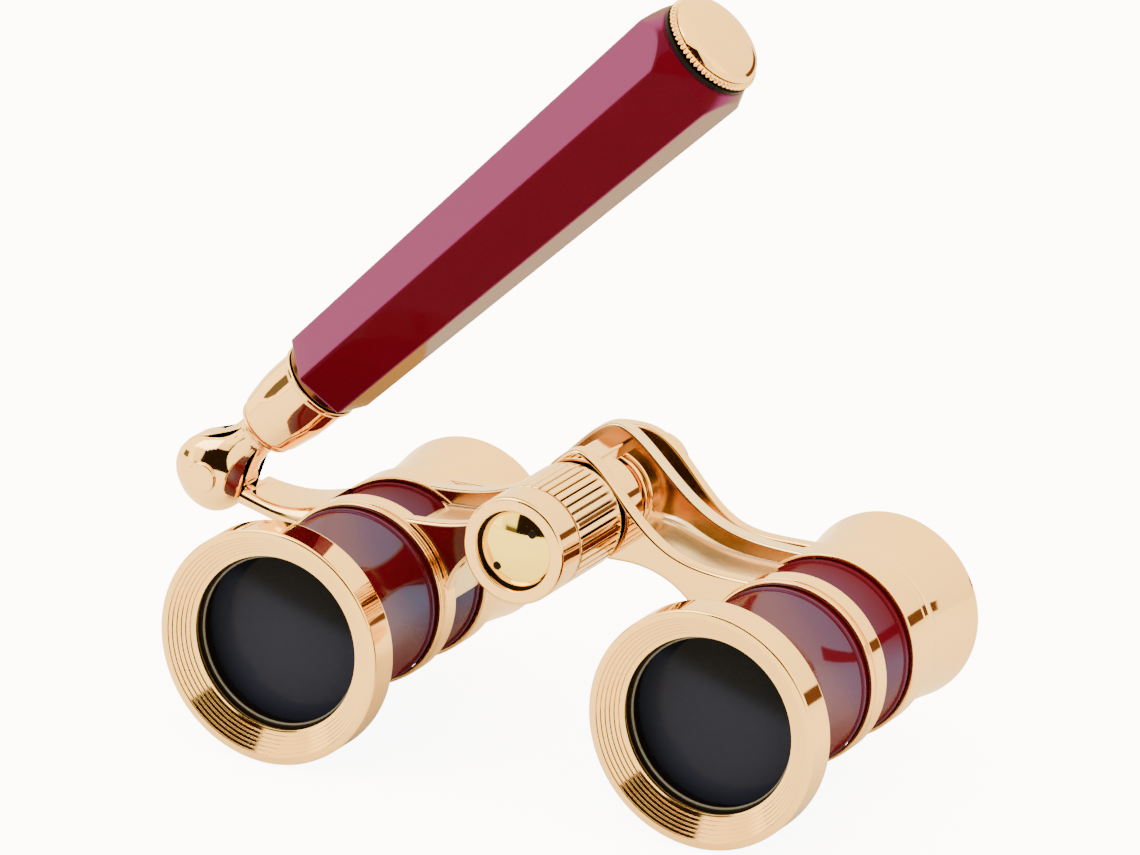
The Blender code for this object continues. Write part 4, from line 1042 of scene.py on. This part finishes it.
def make_fork():
    """The fork as a stack of slices from front to rear."""
    turn = np.linspace(np.arcsin(SLOT / CHEEK), np.arcsin(0.9995), 30)
    depths = [(y, True) for y in np.linspace(0, SLOT, 8)]
    depths += [(y, False) for y in CHEEK * np.sin(turn)]
    half = []
    for y, slotted in depths:
        outline = knuckle_slice(y, slotted)
        half.append(np.stack([outline[:, 0], np.full(len(outline), y), outline[:, 1]], 1))
    half = np.array(half)
    grid = np.concatenate([half[:0:-1] * np.array([1, -1, 1]), half])
    fork = skin("knuckle_fork", on_handle(grid), caps=True)
    finish_piece(fork, "handle_arm", "rose_gold", ROSE, "handle_knuckle")


def make_neck():
    """The neck above the fork: its radius grows from the waist's as t ^ 2.2."""
    end = along_handle("handle_ferrule")[0] - 0.3
    top_r = 4.15
    h = np.linspace(WAIST, end - 0.3, 40)
    flare = WAIST_R + (top_r - WAIST_R) * ((h - WAIST) / (h[-1] - WAIST)) ** 2.2
    foot = [[0, WAIST - 0.3], [WAIST_R - 0.05, WAIST - 0.3]]
    top = [[top_r, end - 0.1], [top_r - 0.1, end], [0, end]]
    line = np.concatenate([foot, np.stack([flare, h], 1), top])
    neck = skin("knuckle_neck", on_handle(turn_grid(line, 128)))
    finish_piece(neck, "handle_arm", "rose_gold", ROSE)


def make_hinge():
    """The hinge pin, and a brass washer on each side of the lug."""
    line = [[0, -PIN_HALF], [PIN_R, -PIN_HALF], [PIN_R, PIN_HALF], [0, PIN_HALF]]
    pin = skin("pin", on_pin(turn_grid(open_rounded(line, 0.35), 96)))
    finish_piece(pin, "frame", "rose_gold", ROSE, "hinge_pin")
    for name in ("front_hinge_washer", "rear_hinge_washer"):
        start, end = along_y(name)
        line = collar_line(PIN_BORE_R, radius_of(name), start - HINGE[1], end - HINGE[1], 0.08)
        washer = skin(f"{name}_turned", on_pin(turn_grid(line, 96)), True)
        finish_piece(washer, "handle_arm", "bush_brass", BRASS, name)


def make_handle():
    """The ferrule, which swells to a band and a rim, the rod, and the grip's mouth ring."""
    start, end = along_handle("handle_ferrule")
    length = end - start
    line = [[2.05, start], [4.2, start], [4.55, start + 0.6], [5.2, start + 0.42 * length]]
    line += [[5.3, start + 0.6 * length], [5.3, end - 1.1], [5.45, end - 0.8], [5.7, end - 0.6]]
    line += [[5.7, end], [3.45, end], [3.45, start + 2.5], [2.05, start + 2.5]]
    edges = [0.1, 0.15, 0.5, 1.6, 1.6, 0.2, 0.2, 0.2, 0.2, 0.15, 0.1, 0.1]
    ferrule = skin("ferrule", on_handle(turn_grid(rounded(line, edges, 8), 160)), True)
    finish_piece(ferrule, "handle_arm", "rose_gold", ROSE, "handle_ferrule")
    line = collar_line(2.5, 3.3, *along_handle("telescope_rod"), 0.12)
    rod = skin("inner_rod", on_handle(turn_grid(line, 128)), True)
    finish_piece(rod, "handle_arm", "rose_gold", ROSE, "telescope_rod")
    line = collar_line(3.45, 5.6, *along_handle("grip_mouth_ring"), 0.2)
    mouth = skin("mouth_ring", on_handle(turn_grid(line, 128)), True)
    finish_piece(mouth, "grip", "black_ring", BRONZE, "grip_mouth_ring")


def make_grip_shell():
    """A tapered hexagon turned about the handle, cut by a cone at its shoulder."""
    start, end = along_handle("grip_shell")
    low_r, high_r, top_r, shoulder, twist = 6.74, 8.46, 7.0, 3.5, np.radians(-38.9)
    sides = twist + np.pi / 6 + np.arange(6) * np.pi / 3
    cut = end - shoulder - 2.0
    mouth = start - 0.8
    bore, lining, unit = 5.0, 8.8, 10.0

    def six_sided(r, h, turn):
        """The hexagon as a power mean of its six flats, cut by the cone of the shoulder."""
        corner = low_r + (high_r - low_r) * (h - start) / (end - start - 6.0)
        flat = corner * np.cos(np.pi / 6)
        facing = np.maximum(np.cos(turn[..., None] - sides), 1e-6)
        power = 70.0
        hexagon = ((facing / flat[..., None]) ** power).sum(-1) ** (-1 / power)
        past = np.clip((h - (end - shoulder)) / shoulder, 0, 1)
        round_r = high_r + 0.1 - (high_r + 0.1 - top_r) * past
        limit = np.where(h > cut, round_r, 99.0)
        soft = 150.0
        both = (hexagon ** (-soft) + limit ** (-soft)) ** (-1 / soft)
        share = np.clip((h - (end - shoulder - 0.2)) / 0.2, 0, 1)
        shaped = hexagon + (both - hexagon) * share
        return np.where(r > bore, shaped * r / unit, r)

    outside = np.concatenate([np.linspace(mouth + 0.45, cut, 24), np.linspace(cut, end - 0.12, 40)[1:]])
    inside = [[bore, start], [lining, start], [lining, mouth]]
    edge = [[9.55, mouth], [9.85, mouth + 0.12], [9.97, mouth + 0.28]]
    flats = np.stack([np.full(len(outside), unit), outside], 1)
    top = [[9.9, end - 0.03], [9.7, end], [bore, end]]
    line = np.concatenate([inside, edge, flats, top])
    shell = skin("enamel_grip", on_handle(turn_grid(line, 6 * 60, six_sided)), True)
    finish_piece(shell, "grip", "burgundy_enamel", PEARL_ENAMEL, "grip_shell")


def make_grip_rings():
    """The plain black ring and the beaded ring at the grip's top."""
    line = collar_line(5.0, 7.0, *along_handle("grip_black_ring"), 0.15)
    ring = skin("black_ring", on_handle(turn_grid(line, 128)), True)
    finish_piece(ring, "grip", "black_ring", BLACK, "grip_black_ring")
    start, end = along_handle("grip_beaded_ring")
    beads = 62
    middle, half = (start + end) / 2, (end - start) / 2

    def beaded(r, h, turn):
        """Round beads side by side: the radius swells as a half sine round the ring."""
        swell = np.abs(np.sin(turn * beads / 2)) ** 0.6
        away = np.clip(1 - ((h - middle) / half) ** 2, 0, 1) ** 0.5
        return np.where(r > 6.0, 6.5 + 0.55 * swell * away, r)

    s = np.linspace(-1, 1, 14)
    outer = np.stack([np.full(len(s), 7.0), middle + half * s], 1)
    line = np.concatenate([[[5.0, start]], outer, [[5.0, end]]])
    ring = skin("beaded_ring", on_handle(turn_grid(line, beads * 12, beaded)), True)
    finish_piece(ring, "grip", "rose_gold", ROSE, "grip_beaded_ring")


def make_end_cap():
    """A stem, a flange, and a dome that rises as 1 - r ^ 5 over a rim rounded as cos ^ 0.6."""
    start, end = along_handle("grip_end_cap")
    flange = end - 1.4
    wall_top = flange + 0.8
    r = np.cos(np.linspace(0, np.pi / 2, 30)) ** 0.6
    dome = np.stack([6.12 * r, wall_top + (end - wall_top) * (1 - r**5)], 1)
    stem = [[0, start], [4.9, start], [4.9, flange - 0.05], [6.4, flange - 0.05]]
    line = np.concatenate([stem, [[6.5, flange + 0.08]], dome])
    cap = skin("domed_cap", on_handle(turn_grid(line, 160)))
    finish_piece(cap, "grip", "rose_gold", ROSE, "grip_end_cap")


# Studio


def make_floor():
    """A pale matt floor, which the camera sees as overexposed as the photograph has it. It
    lies a little under the object, which rests on it."""
    size, low = 1.2, -0.0003
    mesh = bpy.data.meshes.new("studio_floor")
    corners = [(-size, -size, low), (size, -size, low), (size, size, low), (-size, size, low)]
    mesh.from_pydata(corners, [], [(0, 1, 2, 3)])
    floor = bpy.data.objects.new("studio_floor", mesh)
    bpy.context.scene.collection.objects.link(floor)
    material, tree, shader = shader_of("pale_floor")
    tone = blended(tree, noise(tree, 3.0, 2.0), (0.93, 0.93, 0.93), (0.95, 0.95, 0.95))
    tree.links.new(tone, shader.inputs["Base Color"])
    shader.inputs["Roughness"].default_value = 0.9
    shader.inputs["Specular IOR Level"].default_value = 0.1
    path = tree.nodes.new("ShaderNodeLightPath")
    shader.inputs["Emission Color"].default_value = (1, 1, 1, 1)
    glow = ranged(tree, path.outputs["Is Camera Ray"], 0.0, 9.0)
    tree.links.new(glow, shader.inputs["Emission Strength"])
    mesh.materials.append(material)


# Panels of the studio, each seen in reflections between two bearings and two heights, in
# degrees. Bearing 0 looks from the object to its front, and 90 to the user's left.
PANELS = (
    ("low shade beside the room", -35, -22, -3, 1.5, 4.0, (0.26, 0.20, 0.11)),
    ("dark room in front", -23, 40, -3, 37, 2.0, (0.030, 0.016, 0.011)),
    ("bright box on the left", 68, 118, -5, 55, 3.0, (4.5, 3.5, 1.9)),
    ("bright box on the right", -112, -43, -5, 60, 3.0, (4.6, 3.6, 2.0)),
    ("grey screen on the right", -78, -57, 2.5, 14, 1.0, (0.32, 0.24, 0.15)),
    ("dark edge of the back wall", 143, 172, 2.0, 8.0, 1.0, (0.26, 0.10, 0.05)),
)


def make_world():
    """A bright surround with panels, seen in reflections, and plain white to the camera."""
    world = bpy.data.worlds.new("soft studio")
    bpy.context.scene.world = world
    world.use_nodes = True
    tree = world.node_tree
    tree.nodes.clear()
    out = tree.nodes.new("ShaderNodeOutputWorld")
    path = tree.nodes.new("ShaderNodeLightPath")
    chosen = tree.nodes.new("ShaderNodeMixShader")
    plain = tree.nodes.new("ShaderNodeBackground")
    plain.inputs["Color"].default_value = (1, 1, 1, 1)
    plain.inputs["Strength"].default_value = 13.0
    lit = tree.nodes.new("ShaderNodeBackground")
    where = tree.nodes.new("ShaderNodeTexCoord")
    parts = tree.nodes.new("ShaderNodeSeparateXYZ")
    tree.links.new(where.outputs["Generated"], parts.inputs["Vector"])
    ahead = math_node(tree, "MULTIPLY", parts.outputs["Y"], -1.0)
    bearing = math_node(tree, "ARCTAN2", parts.outputs["X"], ahead)
    bearing = math_node(tree, "DEGREES", bearing)
    height = math_node(tree, "DEGREES", math_node(tree, "ARCSINE", parts.outputs["Z"]))
    base = blended(tree, ranged(tree, parts.outputs["Z"], 0.0, 1.0), (3.3, 2.6, 1.5), (4.3, 3.35, 1.85))
    for name, first, last, low, high, soft, colour in PANELS:
        across = ramped(tree, bearing, first, last, soft)
        upright = ramped(tree, height, low, high, soft)
        base = blended(tree, math_node(tree, "MULTIPLY", across, upright), base, colour)
        base.node.label = name
    tree.links.new(base, lit.inputs["Color"])
    lit.inputs["Strength"].default_value = 1.0
    tree.links.new(path.outputs["Is Camera Ray"], chosen.inputs["Fac"])
    tree.links.new(lit.outputs["Background"], chosen.inputs[1])
    tree.links.new(plain.outputs["Background"], chosen.inputs[2])
    tree.links.new(chosen.outputs["Shader"], out.inputs["Surface"])


def make_light():
    """One soft box, to the left above the object's front."""
    target, distance = Vector((0, 0, 0.03)), 0.7
    direction = Vector((-0.6, -0.7, 1.0)).normalized()
    data = bpy.data.lights.new("key from the left above", "AREA")
    data.shape = "RECTANGLE"
    data.size, data.size_y = 0.4, 0.4
    data.energy = 2.4
    lamp = bpy.data.objects.new("key from the left above", data)
    lamp.location = target + direction * distance
    lamp.rotation_euler = direction.to_track_quat("Z", "Y").to_euler()
    bpy.context.scene.collection.objects.link(lamp)


# Camera: the photograph's, fitted to the object's own circles and edges, with square pixels
CAMERA_TURN = np.radians(27.665)
CAMERA_RISE = np.radians(18.374)
CAMERA_ROLL = np.radians(0.6005)
CAMERA_DISTANCE = 1116.2
FOCAL_PIXELS = 8847.3
IMAGE_SIZE = np.array([1140.0, 855.0])
DATUM_PIXEL = np.array([488.77, 684.23])
SENSOR = 36.0


def make_camera():
    """The datum lies on its pixel at the camera's distance, and gives the camera's place."""
    a, e, roll = CAMERA_TURN, CAMERA_RISE, CAMERA_ROLL
    forward = np.array([-np.sin(a) * np.cos(e), np.cos(a) * np.cos(e), -np.sin(e)])
    level = np.array([np.cos(a), np.sin(a), 0.0])
    upright = np.cross(level, forward)
    right = np.cos(roll) * level + np.sin(roll) * upright
    up = np.cross(right, forward)
    off = (DATUM_PIXEL - IMAGE_SIZE / 2) / FOCAL_PIXELS * CAMERA_DISTANCE
    where = DATUM - off[0] * right + off[1] * up - CAMERA_DISTANCE * forward
    data = bpy.data.cameras.new("photo camera")
    data.sensor_width = SENSOR
    data.lens = FOCAL_PIXELS / IMAGE_SIZE[0] * SENSOR
    data.clip_start, data.clip_end = 0.05, 20.0
    camera = bpy.data.objects.new("photo camera", data)
    turn = Matrix(np.stack([right, up, -forward], 1).tolist()).to_4x4()
    camera.matrix_world = Matrix.Translation(Vector(where * MM)) @ turn
    bpy.context.scene.collection.objects.link(camera)
    bpy.context.scene.camera = camera


dress_frame_nodes()
for side_name, side_x in SIDES:
    make_barrel(side_name, side_x)
    make_objective(side_name, side_x)
    make_eyepiece(side_name, side_x)
make_walls()
make_web_and_arm()
for side_name, side_x in SIDES:
    make_barrel_rings(side_name, side_x)
make_hub_and_boss()
make_ridge()
make_lug()
make_carriage()
make_knob_band()
make_fluted_knob()
make_end_disc()
make_screw()
make_fork()
make_neck()
make_hinge()
make_handle()
make_grip_shell()
make_grip_rings()
make_end_cap()
make_floor()
make_world()
make_light()
make_camera()
